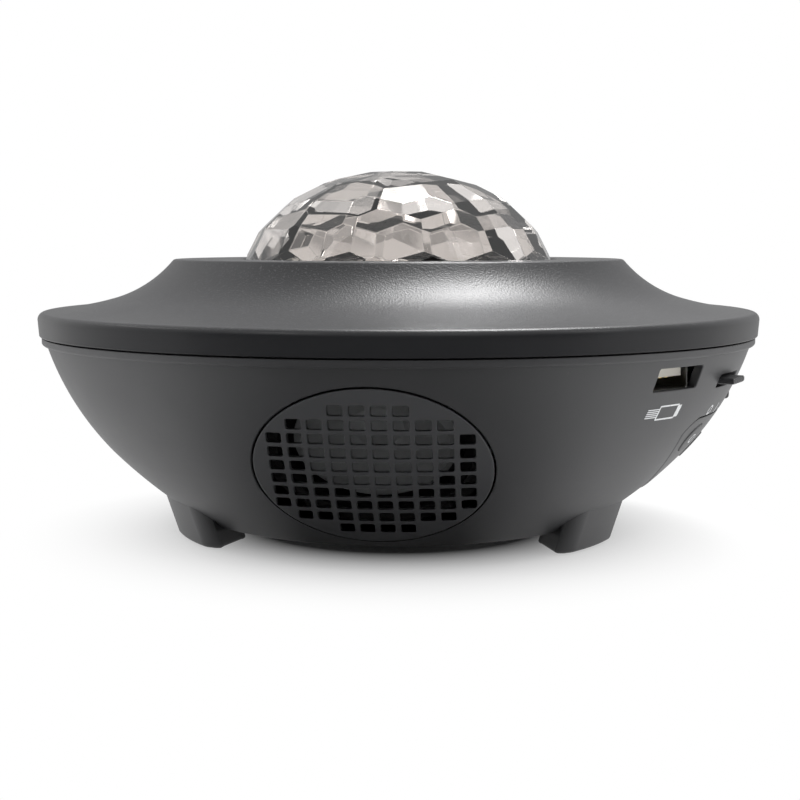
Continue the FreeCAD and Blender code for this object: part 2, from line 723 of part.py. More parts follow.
def make_lower_shell():
    """Bowl with its lip, feet, bosses and standoffs and the cut-outs for everything in its wall."""
    filled = bowl_solid("bowl_filled", "wall / 2")
    hollow = bowl_solid("bowl_hollow", "wall")
    additions = [make_foot(number, hollow) for number in range(3)]
    holes = []
    for number in range(3):
        foot = at(y="-post_circle", z="base_height", azimuth="post_azimuth + %d" % (120 * number))
        additions.append(cylinder("boss_%d" % number, "post_radius + wall / 2", "post_foot - base_height", foot))
        holes.append(cylinder("head_hole_%d" % number, "head_hole", "head_seat - base_height", foot))
        holes.append(cylinder("shaft_hole_%d" % number, "screw_radius + part_gap", "post_foot", foot))
    for corner in range(4):
        foot = standoff_place(corner, FLOOR_TOP)
        additions.append(cylinder("standoff_%d" % corner, "standoff_radius", "standoff_height", foot))
        holes.append(cylinder("standoff_pilot_%d" % corner, "small_pilot", "standoff_height + wall", foot))
    post = cylinder("port_post", "port_post_radius", "%s - base_height" % PORT_BOARD_Z,
                    at(y="-" + PORT_POST_CIRCLE, z="base_height", azimuth="port_post_azimuth"))
    additions.append(common("port_post_trimmed", post, filled))
    holes.append(cylinder("port_pilot", "small_pilot", "pilot_depth",
                          at(y="-" + PORT_POST_CIRCLE, z="%s - pilot_depth" % PORT_BOARD_Z,
                             azimuth="port_post_azimuth")))
    low = "%s - port_ledge_tall" % PORT_BOARD_Z
    for name in ("port_bracket", "port_ledge"):
        inner = "(%s - %s_depth)" % (PORT_BOARD_OUTER, name)
        ledge = box(name, "port_ledge_width", "rim_radius - " + inner, "port_ledge_tall",
                    at(y="-(rim_radius + %s) / 2" % inner, z=low, azimuth=name + "_azimuth"))
        additions.append(common(name + "_trimmed", ledge, filled))
    holes.append(cylinder("bracket_pilot", "small_pilot", "port_ledge_tall",
                          at(y="-" + PORT_BRACKET_CIRCLE, z=low, azimuth="port_bracket_azimuth")))
    holes.append(grille_prism("grille_opening", "grille_groove", "grille_start - grille_groove"))
    holes.append(panel_prism("panel_opening", "panel_groove"))
    holes.append(box("usb_opening", "usb_opening_width", "wall * 6", "usb_opening_height",
                     at(y="-" + bowl_face(USB_Z), z="%s - usb_opening_height / 2" % USB_Z,
                        azimuth="usb_azimuth")))
    holes.append(box("usb_relief", "usb_width + part_gap * 2", "usb_length", "usb_tall + part_gap * 2",
                     at(y="-(%s + part_gap - usb_length / 2)" % USB_FRONT, z="%s - part_gap" % PORT_BOARD_TOP,
                        azimuth="usb_azimuth")))
    holes.append(box("switch_slot", "slot_length", "wall * 6", "slot_height",
                     at(y="-" + bowl_face(SWITCH_Z), z="%s - slot_height / 2" % SWITCH_Z,
                        azimuth="switch_azimuth")))
    holes.append(cylinder("jack_hole", "jack_radius + part_gap / 2", "wall * 6",
                          at(y="-(%s - wall * 3)" % bowl_face(JACK_Z), z=JACK_Z, tilt="90",
                             azimuth="jack_azimuth")))
    whole = fused("bowl_with_bosses", turned("bowl", shell_outline()), *additions)
    named(cut("bowl_opened", whole, *holes), "lower_shell")


def make_shell_screws():
    """Three long screws driven up through the bosses in the base into the posts of the cover."""
    screws = []
    for number in range(3):
        place = at(y="-post_circle", z="head_seat", tilt="180", azimuth="post_azimuth + %d" % (120 * number))
        screws.append(screw("shell_screw_%d" % number, "screw_radius", "screw_length", "screw_head",
                            "screw_head_height", place))
    named(gathered("shell_screw_group", screws), "shell_screws")


# ---------------------------------------------------------------- dome

def make_dome():
    """Clear faceted dome, its clamping ring and the three screws of the ring."""
    radius = size("dome_radius")
    rise = size("dome_rise")
    centre = size("dome_centre")
    foot = size("neck_height - wall - flange_thick")
    reach = 4 * radius
    gem = Part.makeCylinder(radius * 1.2, rise * 1.5, FreeCAD.Vector(0, 0, foot))
    for latitude, count, first in DOME_ROWS:
        tilt = math.radians(latitude)
        touch = FreeCAD.Vector(0, -radius * math.cos(tilt), rise * math.sin(tilt))
        normal = FreeCAD.Vector(0, -math.cos(tilt) / radius, math.sin(tilt) / rise).normalize()
        for number in range(count):
            swing = FreeCAD.Rotation(FreeCAD.Vector(0, 0, 1), first + 360 / count * number)
            outside = Part.makeBox(reach, reach, reach, FreeCAD.Vector(-reach / 2, -reach / 2, 0))
            turn = FreeCAD.Rotation(FreeCAD.Vector(0, 0, 1), swing.multVec(normal))
            spot = swing.multVec(touch) + FreeCAD.Vector(0, 0, centre)
            outside.Placement = FreeCAD.Placement(spot, turn)
            gem = gem.cut(outside)
    faceted = document.addObject("Part::Feature", "dome_facets")
    faceted.Shape = gem
    faceted.Placement = FreeCAD.Placement()
    hollow = document.addObject("Part::Ellipsoid", "dome_hollow")
    hollow.setExpression("Radius1", bound("dome_rise - dome_wall"))
    hollow.setExpression("Radius2", bound("dome_radius - dome_wall"))
    hollow.setExpression("Radius3", bound("dome_radius - dome_wall"))
    placed(hollow, at(z="dome_centre"))
    skirt = cylinder("dome_skirt", "dome_flange", "flange_thick", at(z="%s - flange_thick" % PLATE_UNDER))
    whole = fused("dome_solid", faceted, skirt)
    named(cut("dome_hollowed", whole, hollow), "dome_lens")
    low = "%s - flange_thick - ring_thick" % PLATE_UNDER
    plain = ring("clamp_ring", "ring_inner", "dome_flange", "ring_thick", at(z=low))
    ears = []
    holes = []
    screws = []
    for number in range(3):
        swing = "ring_azimuth + %d" % (120 * number)
        ears.append(cylinder("ring_ear_%d" % number, "small_head + small_pilot", "ring_thick",
                             at(y="-ring_screw_circle", z=low, azimuth=swing)))
        ears.append(box("ring_arm_%d" % number, "(small_head + small_pilot) * 2", "ring_screw_circle - ring_inner - 2",
                        "ring_thick", at(y="-(ring_screw_circle + ring_inner + 2) / 2", z=low, azimuth=swing)))
        holes.append(cylinder("ring_hole_%d" % number, "small_pilot + part_gap / 2", "ring_thick",
                              at(y="-ring_screw_circle", z=low, azimuth=swing)))
        screws.append(small_screw("ring_screw_%d" % number, "ring_thick + flange_thick",
                                  at(y="-ring_screw_circle", z=low, tilt="180", azimuth=swing)))
    named(cut("clamp_ring_drilled", fused("clamp_ring_eared", plain, *ears), *holes), "dome_ring")
    named(gathered("ring_screw_group", screws), "ring_screws")


# ---------------------------------------------------------------- speaker

def make_grille(skin, lining, behind_wall):
    """Perforated insert that follows the bowl, with a lap behind the wall and a seat for the speaker."""
    face = common("grille_face", grille_prism("grille_edge", "0"), skin)
    lap = common("grille_lap", grille_prism("grille_lap_edge", "insert_lap"), lining)
    seat = cylinder("grille_seat", "seat_outer", "rim_radius", along_speaker("seat_depth"))
    seat_in_bowl = common("grille_seat_trimmed", seat, behind_wall)
    bore = cylinder("grille_seat_bore", "seat_inner", "rim_radius", along_speaker("seat_depth"))
    hollow = common("grille_bore_trimmed", bore, bowl_solid("grille_bore_limit", "wall"))
    holes = []
    rows = len(GRILLE_ROWS)
    for row, count in enumerate(GRILLE_ROWS):
        height = "hole_centre + hole_pitch_down * %.1f - hole_height / 2" % ((rows - 1) / 2 - row)
        for column in range(count):
            across = "hole_pitch_across * %.1f" % (column - (count - 1) / 2)
            holes.append(box("grille_hole_%d_%d" % (row, column), "hole_width", "rim_radius / 2", "hole_height",
                             at(x=across, y="-rim_radius * 0.75", z=height)))
    for number in range(4):
        holes.append(cylinder("speaker_pilot_%d" % number, "speaker_screw", "speaker_screw_length",
                              speaker_screw_place(number, "seat_depth")))
    whole = fused("grille_whole", face, lap, seat_in_bowl)
    bored = cut("grille_bored", whole, hollow)
    named(cut("grille_pierced", bored, gathered("grille_holes", holes)), "speaker_grille")


def speaker_screw_place(number, depth):
    """Placement of one speaker screw, its +Z along the speaker's axis outwards."""
    across = "speaker_screw_circle * cos(%d)" % (45 + 90 * number)
    along = "speaker_screw_circle * sin(%d)" % (45 + 90 * number)
    return along_speaker(depth) + " * " + at(x=across, y=along)


def make_speaker():
    """Gasket, pressed frame, magnet with its pole, cone with its voice coil, and four screws."""
    gasket = ring("gasket", "seat_inner", "seat_outer", "gasket_thick", along_speaker("seat_depth + gasket_thick"))
    passages = [cylinder("gasket_hole_%d" % number, "speaker_screw + part_gap / 2", "gasket_thick",
                         speaker_screw_place(number, "seat_depth + gasket_thick")) for number in range(4)]
    named(cut("gasket_drilled", gasket, *passages), "speaker_gasket")
    front = "seat_depth + gasket_thick"
    back = "-(frame_thick + basket_depth)"
    top = "-(frame_thick + cone_sunk)"
    shelf = "%s - cone_travel" % top
    frame = [
        ("cone_edge + cone_sheet * 3", shelf),
        ("cone_edge + cone_sheet * 3", "-frame_thick"),
        ("cone_edge + cone_sheet * 3", "0"),
        ("seat_outer", "0"),
        ("seat_outer", "-frame_thick"),
        ("cone_edge + cone_sheet * 3 + frame_thick", "-frame_thick"),
        ("cone_edge + cone_sheet * 3 + frame_thick", "%s - frame_thick * 0.6" % shelf),
        ("basket_radius", back),
        ("coil_slot", back),
        ("coil_slot", "%s + frame_thick" % back),
        ("basket_radius - frame_thick", "%s + frame_thick" % back),
        ("cone_edge - cone_lap", "%s - frame_thick" % shelf),
        ("cone_edge - cone_lap", shelf),
    ]
    frame_body = turned("basket", frame, along_speaker(front))
    holes = [cylinder("frame_hole_%d" % number, "speaker_screw + part_gap / 2", "frame_thick * 2",
                      speaker_screw_place(number, front + " + frame_thick * 1.5")) for number in range(4)]
    for number in range(4):
        window = box("basket_window_%d" % number, "basket_radius", "seat_outer", "basket_depth * 0.42",
                     along_speaker(front + " + frame_thick + basket_depth * 0.86") + " * "
                     + "create(<<placement>>; create(<<vector>>; 0; 0; 0); "
                     + "create(<<rotation>>; create(<<vector>>; 0; 0; 1); %d)) * " % (90 * number)
                     + at(y="(coil_slot + cone_edge) * 0.86"))
        holes.append(window)
    named(cut("basket_drilled", frame_body, *holes), "speaker_frame")
    magnet = [
        ("0", "%s - magnet_thick" % back),
        ("magnet_radius", "%s - magnet_thick" % back),
        ("magnet_radius", back),
        ("coil_slot", back),
        ("coil_slot", "%s - magnet_thick * 0.7" % back),
        ("pole_radius", "%s - magnet_thick * 0.7" % back),
        ("pole_radius", back),
        ("0", back),
    ]
    named(turned("magnet", magnet, along_speaker(front)), "speaker_magnet")
    cone = [
        ("0", "%s - cone_depth + 2.2" % top),
        ("coil_radius", "%s - cone_depth + 1" % top),
        ("cone_edge - 3", "%s + cone_sheet" % top),
        ("cone_edge - 1.5", "%s + cone_sheet + 1.2" % top),
        ("cone_edge", "%s + cone_sheet" % top),
        ("cone_edge", "%s + running_gap" % top),
        ("cone_edge - cone_lap", "%s + running_gap" % top),
        ("cone_edge - 1.6", "%s + 1 - cone_sheet * 0.4" % top),
        ("cone_edge - 3", "%s - cone_sheet" % top),
        ("coil_radius + coil_wall", "%s - cone_depth + 0.6" % top),
        ("coil_radius + coil_wall", "%s - magnet_thick * 0.3" % back),
        ("coil_radius", "%s - magnet_thick * 0.3" % back),
        ("coil_radius", "%s - cone_depth + 0.5" % top),
        ("0", "%s - cone_depth + 1.7" % top),
    ]
    named(turned("cone", cone, along_speaker(front)), "speaker_cone")
    screws = [screw("speaker_screw_%d" % number, "speaker_screw - running_gap", "frame_thick + speaker_screw_length",
                    "speaker_head", "speaker_head * 0.6",
                    speaker_screw_place(number, front + " + frame_thick") + " * " + at(tilt="180"))
              for number in range(4)]
    named(gathered("speaker_screw_group", screws), "speaker_screws")


# ---------------------------------------------------------------- sockets and switch

def make_port_board():
    """Curved board behind the right front of the bowl, with its two screws."""
    swing = "port_board_from - 90"
    low = at(z=PORT_BOARD_Z, azimuth=swing)
    outer = cylinder("port_board_outer_edge", PORT_BOARD_OUTER, "board_thick", low, "port_board_span")
    inner = cylinder("port_board_inner_edge", PORT_BOARD_INNER, "board_thick", low, "port_board_span")
    holes = [inner]
    screws = []
    places = ((PORT_POST_CIRCLE, "port_post_azimuth"), (PORT_BRACKET_CIRCLE, "port_bracket_azimuth"))
    for number, (circle, azimuth) in enumerate(places):
        holes.append(cylinder("port_board_hole_%d" % number, "small_pilot + part_gap / 2", "board_thick",
                              at(y="-" + circle, z=PORT_BOARD_Z, azimuth=azimuth)))
        screws.append(small_screw("port_screw_%d" % number, "board_thick + small_bite",
                                  at(y="-" + circle, z=PORT_BOARD_TOP, azimuth=azimuth)))
    named(cut("port_board_drilled", outer, *holes), "port_board")
    named(gathered("port_screw_group", screws), "port_screws")


def make_usb():
    """Folded metal sleeve of the USB socket and the moulded block with the contact tongue."""
    middle = "-(%s - usb_length / 2)" % USB_FRONT
    sleeve = box("usb_sleeve", "usb_width", "usb_length", "usb_tall",
                 at(y=middle, z=PORT_BOARD_TOP, azimuth="usb_azimuth"))
    bore = box("usb_bore", "usb_width - usb_sheet * 2", "usb_length + 1", "usb_tall - usb_sheet * 2",
               at(y=middle, z="%s + usb_sheet" % PORT_BOARD_TOP, azimuth="usb_azimuth"))
    named(cut("usb_sleeve_bored", sleeve, bore), "usb_shell")
    block = box("usb_block", "usb_width - usb_sheet * 2", "usb_block_depth", "usb_tall - usb_sheet * 2",
                at(y="-(%s - usb_length + usb_block_depth / 2)" % USB_FRONT, z="%s + usb_sheet" % PORT_BOARD_TOP,
                   azimuth="usb_azimuth"))
    tongue = box("usb_tongue", "usb_tongue_width", "usb_length - usb_tongue_back", "usb_tongue_thick",
                 at(y="-(%s - (usb_length + usb_tongue_back) / 2)" % USB_FRONT,
                    z="%s + usb_tall - usb_sheet - usb_tongue_thick - 0.4" % PORT_BOARD_TOP,
                    azimuth="usb_azimuth"))
    named(fused("usb_block_with_tongue", block, tongue), "usb_insulator")


def make_switch():
    """Slide switch on the board and the knob that stands out of the slot, at the left end of its travel."""
    face = bowl_face(SWITCH_Z)
    rest = "-switch_travel / 2"
    tab = box("switch_tab", "tab_length", "tab_root + tab_proud", "tab_thick",
              at(x=rest, y="-(%s + (tab_proud - tab_root) / 2)" % face, z="%s - tab_thick / 2" % SWITCH_Z,
                 azimuth="switch_azimuth"))
    lever = box("switch_lever", "lever_width", "lever_length + 1", "lever_thick",
                at(x=rest, y="-(%s - tab_root - lever_length / 2 + 0.5)" % face,
                   z="%s - lever_thick / 2" % SWITCH_Z, azimuth="switch_azimuth"))
    named(fused("switch_tab_with_lever", tab, lever), "switch_knob")
    front = "(%s - tab_root - part_gap)" % face
    case = box("switch_case", "switch_length", "switch_depth", "switch_tall",
               at(y="-(%s - switch_depth / 2)" % front, z=PORT_BOARD_TOP, azimuth="switch_azimuth"))
    groove = box("switch_groove", "lever_width + switch_travel + part_gap * 2", "lever_length", "lever_thick + 0.1",
                 at(y="-(%s - lever_length / 2 + 0.1)" % front, z="%s - lever_thick / 2 - 0.05" % SWITCH_Z,
                    azimuth="switch_azimuth"))
    named(cut("switch_case_grooved", case, groove), "switch_body")


def make_jack():
    """Small round power socket hanging under the board, with its centre pin."""
    face = "(%s + jack_reach)" % bowl_face(JACK_Z)
    back = "(%s - wall - jack_depth)" % bowl_face(JACK_Z)
    case = box("jack_case", "jack_width", "jack_depth - jack_shoulder", "jack_drop * 2",
               at(y="-(%s + (jack_depth - jack_shoulder) / 2)" % back, z="%s - jack_drop * 2" % PORT_BOARD_Z,
                  azimuth="jack_azimuth"))
    sleeve = cylinder("jack_sleeve", "jack_radius", "%s - %s - wall / 2" % (face, back),
                      at(y="-(%s + wall / 2)" % back, z=JACK_Z, tilt="90", azimuth="jack_azimuth"))
    bore = cylinder("jack_bore_hole", "jack_bore", "jack_bore_depth",
                    at(y="-(%s - jack_bore_depth)" % face, z=JACK_Z, tilt="90", azimuth="jack_azimuth"))
    named(cut("jack_case_bored", fused("jack_case_with_sleeve", case, sleeve), bore), "jack_body")
    named(cylinder("jack_centre_pin", "jack_pin_radius", "jack_bore_depth - 1",
                   at(y="-(%s - jack_bore_depth)" % face, z=JACK_Z, tilt="90", azimuth="jack_azimuth")),
          "jack_pin")


# ---------------------------------------------------------------- control panel

def make_panel(skin, lining, behind_wall):
    """Flush insert with five round holes and two posts that hold the button board."""
    face = common("panel_face", panel_prism("panel_edge", "0"), skin)
    lap = common("panel_lap", panel_prism("panel_lap_edge", "insert_lap"), lining)
    posts = []
    holes = []
    for number, side in enumerate((-1, 1)):
        place = along_panel(BUTTON_PLANE, BUTTON_BOARD_UP, "panel_post_offset * %d" % side)
        post = cylinder("panel_post_%d" % number, "panel_post_radius", "rim_radius / 3", place)
        posts.append(common("panel_post_trimmed_%d" % number, post, behind_wall))
        holes.append(cylinder("panel_pilot_%d" % number, "small_pilot", "pilot_depth", place))
    for number, (across, height, depth) in enumerate(BUTTONS):
        holes.append(cylinder("button_hole_%d" % number, "button_radius + button_gap", "rim_radius / 3",
                              button_place(across, height, button_back(across, height, depth))))
    whole = fused("panel_whole", face, lap, *posts)
    named(cut("panel_pierced", whole, *holes), "control_panel")


def button_place(across, height, out):
    """Placement on a push button's axis, a distance out from the frame's middle along the panel's normal."""
    return along_panel(out, panel_up(across, height), "%s" % across)


def button_back(across, height, depth):
    """Distance from the frame's middle to the back of a push button's collar."""
    return "(%s - %s)" % (panel_out(across, height), depth)


def make_buttons(lining_front, cap_limit):
    """Push buttons: round cap that follows the panel, collar behind the wall, stem down to its switch."""
    stem_end = "(%s + tact_body + tact_plunger)" % BUTTON_PLANE
    for number, (across, height, depth) in enumerate(BUTTONS):
        back = button_back(across, height, depth)
        place = button_place(across, height, back)
        cap = common("button_cap_%d" % number,
                     cylinder("button_barrel_%d" % number, "button_radius", "rim_radius / 3", place), cap_limit)
        collar = common("button_collar_%d" % number,
                        cylinder("button_flange_%d" % number, "button_radius + button_collar", "rim_radius / 3",
                                 place), lining_front)
        stem = cylinder("button_stem_%d" % number, "button_stem", "%s + wall / 4 - %s" % (back, stem_end),
                        button_place(across, height, stem_end))
        named(fused("button_whole_%d" % number, cap, collar, stem), "button_%d" % (number + 1))
        case = box("tact_case_%d" % number, "tact_width", "tact_width", "tact_body",
                   button_place(across, height, BUTTON_PLANE))
        plunger = cylinder("tact_pin_%d" % number, "tact_plunger_radius",
                           "tact_body + tact_plunger - button_travel - running_gap",
                           button_place(across, height, BUTTON_PLANE))
        named(fused("tact_whole_%d" % number, case, plunger), "tact_switch_%d" % (number + 1))


def make_button_board():
    """Flat board behind the control panel, with its two screws."""
    under = "(%s - board_thick)" % BUTTON_PLANE
    low = along_panel(under, BUTTON_BOARD_UP, "0")
    board = box("button_board_blank", "button_board_length", "button_board_width", "board_thick", low)
    holes = []
    screws = []
    for number, side in enumerate((-1, 1)):
        across = "panel_post_offset * %d" % side
        place = along_panel(under, BUTTON_BOARD_UP, across)
        holes.append(cylinder("button_board_hole_%d" % number, "small_pilot + part_gap / 2", "board_thick", place))
        screws.append(small_screw("panel_screw_%d" % number, "board_thick + small_bite", place + " * " + at(tilt="180")))
    named(cut("button_board_drilled", board, *holes), "button_board")
    named(gathered("panel_screw_group", screws), "panel_screws")


# ---------------------------------------------------------------- light engine

def make_deck():
    """Plate across the cover that carries the lamp below and the turning disc above."""
    plate = cylinder("deck_plate", "deck_radius", "deck_thick", at(z=DECK_Z))
    opening = cylinder("deck_window", "deck_opening", "deck_thick", at(z=DECK_Z))
    parts = [cylinder("deck_hub", "hub_radius", "hub_height", at(z=DECK_Z))]
    holes = [cylinder("axle_hole", "axle_radius", "hub_height", at(z=DECK_Z))]
    screws = []
    arms = []
    for number in range(3):
        swing = "%d" % (120 * number)
        parts.append(box("deck_spoke_%d" % number, "spoke_width", "deck_opening", "deck_thick",
                         at(y="-(deck_opening / 2 + 1)", z=DECK_Z, azimuth="60 + %d" % (120 * number))))
        arms.append(box("deck_arm_%d" % number, "deck_arm_width", "deck_post_circle - deck_radius + 4", "deck_thick",
                        at(y="-(deck_post_circle + deck_radius - 4) / 2", z=DECK_Z, azimuth=swing)))
        arms.append(cylinder("deck_ear_%d" % number, "deck_arm_width / 2", "deck_thick",
                             at(y="-deck_post_circle", z=DECK_Z, azimuth=swing)))
        holes.append(cylinder("deck_hole_%d" % number, "small_pilot + part_gap / 2", "deck_thick",
                              at(y="-deck_post_circle", z=DECK_Z, azimuth=swing)))
        screws.append(small_screw("deck_screw_%d" % number, "deck_thick + small_bite",
                                  at(y="-deck_post_circle", z=DECK_Z, tilt="180", azimuth=swing)))
    arms.append(box("deck_lobe", "deck_lobe_width", "deck_lobe_reach - deck_radius + wall * 4", "deck_thick",
                    at(y="(deck_lobe_reach + deck_radius - wall * 4) / 2", z=DECK_Z)))
    holes.append(cylinder("shaft_hole", "motor_shaft_radius + part_gap", "deck_thick",
                          at(y=PINION_CENTRE, z=DECK_Z)))
    holes.append(cylinder("laser_hole", "laser_radius + part_gap / 3", "deck_thick",
                          at(y="-laser_circle", z=DECK_Z, azimuth="laser_azimuth")))
    for number in range(2):
        holes.append(cylinder("lamp_pilot_%d" % number, "small_pilot", "deck_thick",
                              lamp_screw_place(number, DECK_Z)))
    open_plate = cut("deck_opened", fused("deck_with_arms", plate, *arms), opening)
    whole = fused("deck_with_hub", open_plate, *parts)
    named(cut("deck_drilled", whole, *holes), "light_deck")
    named(gathered("deck_screw_group", screws), "deck_screws")


def lamp_screw_place(number, height, tilt="0"):
    """Placement of one of the two screws of the lamp housing."""
    return at(y="-lamp_screw_circle", z=height, tilt=tilt, azimuth="lamp_screw_azimuth + %d" % (180 * number))


def make_lamp():
    """Housing, board with three emitters, lens, finned heat sink and two screws."""
    housing = [
        ("lamp_ledge", "0"),
        ("lamp_outer", "0"),
        ("lamp_outer", "lamp_tall - lamp_flange_thick"),
        ("lamp_flange", "lamp_tall - lamp_flange_thick"),
        ("lamp_flange", "lamp_tall"),
        ("lamp_inner", "lamp_tall"),
        ("lamp_inner", "lamp_seat"),
        ("lamp_ledge", "lamp_seat"),
    ]
    tube = turned("lamp_tube", housing, at(z=LAMP_FOOT))
    holes = []
    screws = []
    for number in range(2):
        low = "%s - lamp_flange_thick" % DECK_Z
        holes.append(cylinder("lamp_hole_%d" % number, "small_pilot + part_gap / 2", "lamp_flange_thick",
                              lamp_screw_place(number, low)))
        screws.append(small_screw("lamp_screw_%d" % number, "lamp_flange_thick + deck_thick",
                                  lamp_screw_place(number, low, "180")))
    named(cut("lamp_tube_drilled", tube, *holes), "lamp_housing")
    named(gathered("lamp_screw_group", screws), "lamp_screws")
    named(cylinder("lamp_board", "lamp_outer", "board_thick", at(z="%s - board_thick" % LAMP_FOOT)), "led_board")
    for number in range(3):
        named(box("emitter_%d" % number, "led_width", "led_width", "led_thick",
                  at(y="-led_circle", z=LAMP_FOOT, azimuth="%d" % (60 + 120 * number))), "led_%d" % (number + 1))
    lens = [
        ("0", "0"),
        ("lens_radius", "0"),
        ("lens_radius", "lens_edge", "lens_curve"),
        ("0", "lens_edge + lens_curve - sqrt(lens_curve ^ 2 - lens_radius ^ 2)"),
    ]
    named(turned("lens", lens, at(z="%s + lamp_seat" % LAMP_FOOT)), "led_lens")
    sink_top = "%s - board_thick" % LAMP_FOOT
    base = cylinder("sink_plate", "sink_radius", "sink_base", at(z="%s - sink_base" % sink_top))
    limit = cylinder("sink_limit", "sink_radius", "sink_base + sink_fin", at(z="%s - sink_base - sink_fin" % sink_top))
    fins = [box("sink_fin_%d" % number, "fin_thick", "sink_radius * 2", "sink_fin + sink_base / 2",
                at(x="fin_pitch * %d" % (number - 3), z="%s - sink_base - sink_fin" % sink_top))
            for number in range(7)]
    fins_round = common("sink_fins_round", gathered("sink_fins", fins), limit)
    named(fused("sink_whole", base, fins_round), "heat_sink")


def make_laser():
    """Small barrel that shines up through the disc."""
    outline = [
        ("0", "-laser_length"),
        ("laser_radius", "-laser_length"),
        ("laser_radius", "-laser_collar_thick"),
        ("laser_collar", "-laser_collar_thick"),
        ("laser_collar", "0"),
        ("laser_radius", "0"),
        ("laser_radius", "deck_thick"),
        ("laser_window", "deck_thick"),
        ("laser_window", "deck_thick - laser_window_depth"),
        ("0", "deck_thick - laser_window_depth"),
    ]
    named(turned("laser_barrel", outline, at(y="-laser_circle", z=DECK_Z, azimuth="laser_azimuth")),
          "laser_module")


def gear_outline(teeth):
    """Corners of a spur gear's edge, one tooth after another, straight-flanked with rounded proportions."""
    pitch = "(tooth_module * %s / 2)" % teeth
    count = int(size(teeth))
    step = 360 / count
    corners = []
    shape = (("- tooth_dedendum", "tooth_root_share", -1), ("", "tooth_pitch_share", -1),
             ("+ tooth_addendum", "tooth_tip_share", -1), ("+ tooth_addendum", "tooth_tip_share", 1),
             ("", "tooth_pitch_share", 1), ("- tooth_dedendum", "tooth_root_share", 1))
    for tooth in range(count):
        for reach, share, side in shape:
            angle = "(%.6f + %.6f * %s)" % (step * tooth, side * step / 2, share)
            radius = "(%s %s)" % (pitch, reach)
            corners.append((radius, angle))
    return corners


def gear_blank(name, teeth, phase, height, placement):
    """Toothed disc, its edge worked out from the sizes, standing on z = 0."""
    points = []
    for radius, angle in gear_outline(teeth):
        reach = size(radius)
        turn = math.radians(size(angle) + phase)
        points.append(FreeCAD.Vector(reach * math.cos(turn), reach * math.sin(turn), 0))
    edge = document.addObject("Part::Feature", name + "_edge")
    edge.Shape = Part.makePolygon(points + [points[0]])
    edge.Placement = FreeCAD.Placement()
    blank = document.addObject("Part::Extrusion", name)
    blank.Base = edge
    blank.DirMode = "Custom"
    blank.Dir = FreeCAD.Vector(0, 0, 1)
    blank.setExpression("LengthFwd", bound(height))
    blank.Solid = True
    return placed(blank, placement)


def make_disc():
    """Turning disc: toothed ring with a hub on three webs, the rippled window and the axle pin."""
    blank = gear_blank("disc_gear_blank", "gear_teeth", 0, "disc_thick", at(z=DISC_Z))
    hole = cylinder("disc_gear_hole", "ring_gear_inner", "disc_thick", at(z=DISC_Z))
    webs = [cylinder("disc_hub", "disc_hub_radius", "disc_thick + disc_drop", at(z="%s - disc_drop" % DISC_Z))]
    for number in range(3):
        webs.append(box("disc_web_%d" % number, "web_width", "ring_gear_inner", "web_thick",
                        at(y="-(ring_gear_inner / 2 + part_gap)", z=DISC_Z, azimuth="%d" % (120 * number))))
    bore = cylinder("disc_bore", "axle_radius + running_gap * 2", "%s - %s" % (DISC_TOP, DECK_Z),
                    at(z=DECK_Z))
    rim = cut("disc_rim", blank, hole)
    named(cut("disc_bored", fused("disc_with_webs", rim, *webs), bore), "disc_gear")
    named(ring("window", "disc_hub_radius + part_gap", "ring_gear_inner - part_gap", "ripple_thick",
               at(z="%s + web_thick" % DISC_Z)), "ripple_disc")
    top = "%s + running_gap * 2" % DISC_TOP
    pin = [
        ("0", DECK_Z),
        ("axle_radius", DECK_Z),
        ("axle_radius", top),
        ("axle_head", top),
        ("axle_head", "%s + axle_head_height / 2" % top),
        ("axle_head * 0.7", "%s + axle_head_height" % top),
        ("0", "%s + axle_head_height" % top),
    ]
    named(turned("axle", pin), "disc_axle")


def make_motor():
    """Drive for the disc: pinion and shaft, gearbox under the deck and the motor can under it."""
    phase = 180 / size("pinion_teeth") + 90
    blank = gear_blank("pinion_blank", "pinion_teeth", phase, "disc_thick", at(y=PINION_CENTRE, z=DISC_Z))
    bore = cylinder("pinion_bore", "motor_shaft_radius", "disc_thick", at(y=PINION_CENTRE, z=DISC_Z))
    named(cut("pinion_bored", blank, bore), "drive_pinion")
    named(cylinder("shaft_pin", "motor_shaft_radius", "%s + shaft_proud + shaft_sunk - %s" % (DISC_TOP, DECK_Z),
                   at(y=PINION_CENTRE, z=DECK_Z + " - shaft_sunk")), "motor_shaft")
    low = "%s - gearbox_tall" % DECK_Z
    case = box("gearbox_case", "gearbox_width", "gearbox_depth", "gearbox_tall", at(y=PINION_CENTRE, z=low))
    hole = cylinder("gearbox_hole", "motor_shaft_radius + running_gap * 2", "shaft_sunk + part_gap",
                    at(y=PINION_CENTRE, z=DECK_Z + " - shaft_sunk - part_gap"))
    named(cut("gearbox_drilled", case, hole), "motor_gearbox")
    can = cylinder("can_round", "motor_can_radius", "motor_can_tall",
                   at(y=PINION_CENTRE, z="%s - motor_can_tall" % low))
    flat = box("can_flat", "motor_can_radius * 2", "motor_can_flat", "motor_can_tall",
               at(y=PINION_CENTRE, z="%s - motor_can_tall" % low))
    named(common("can_flattened", can, flat), "motor_can")


# ---------------------------------------------------------------- main board

def standoff_place(corner, height, tilt="0"):
    """Placement over one of the four corners of the main board."""
    across = 1 if corner in (1, 2) else -1
    along = 1 if corner > 1 else -1
    return at(x="%d * (main_length / 2 - standoff_inset)" % across,
              y="%d * (main_width / 2 - standoff_inset)" % along, z=height, tilt=tilt)


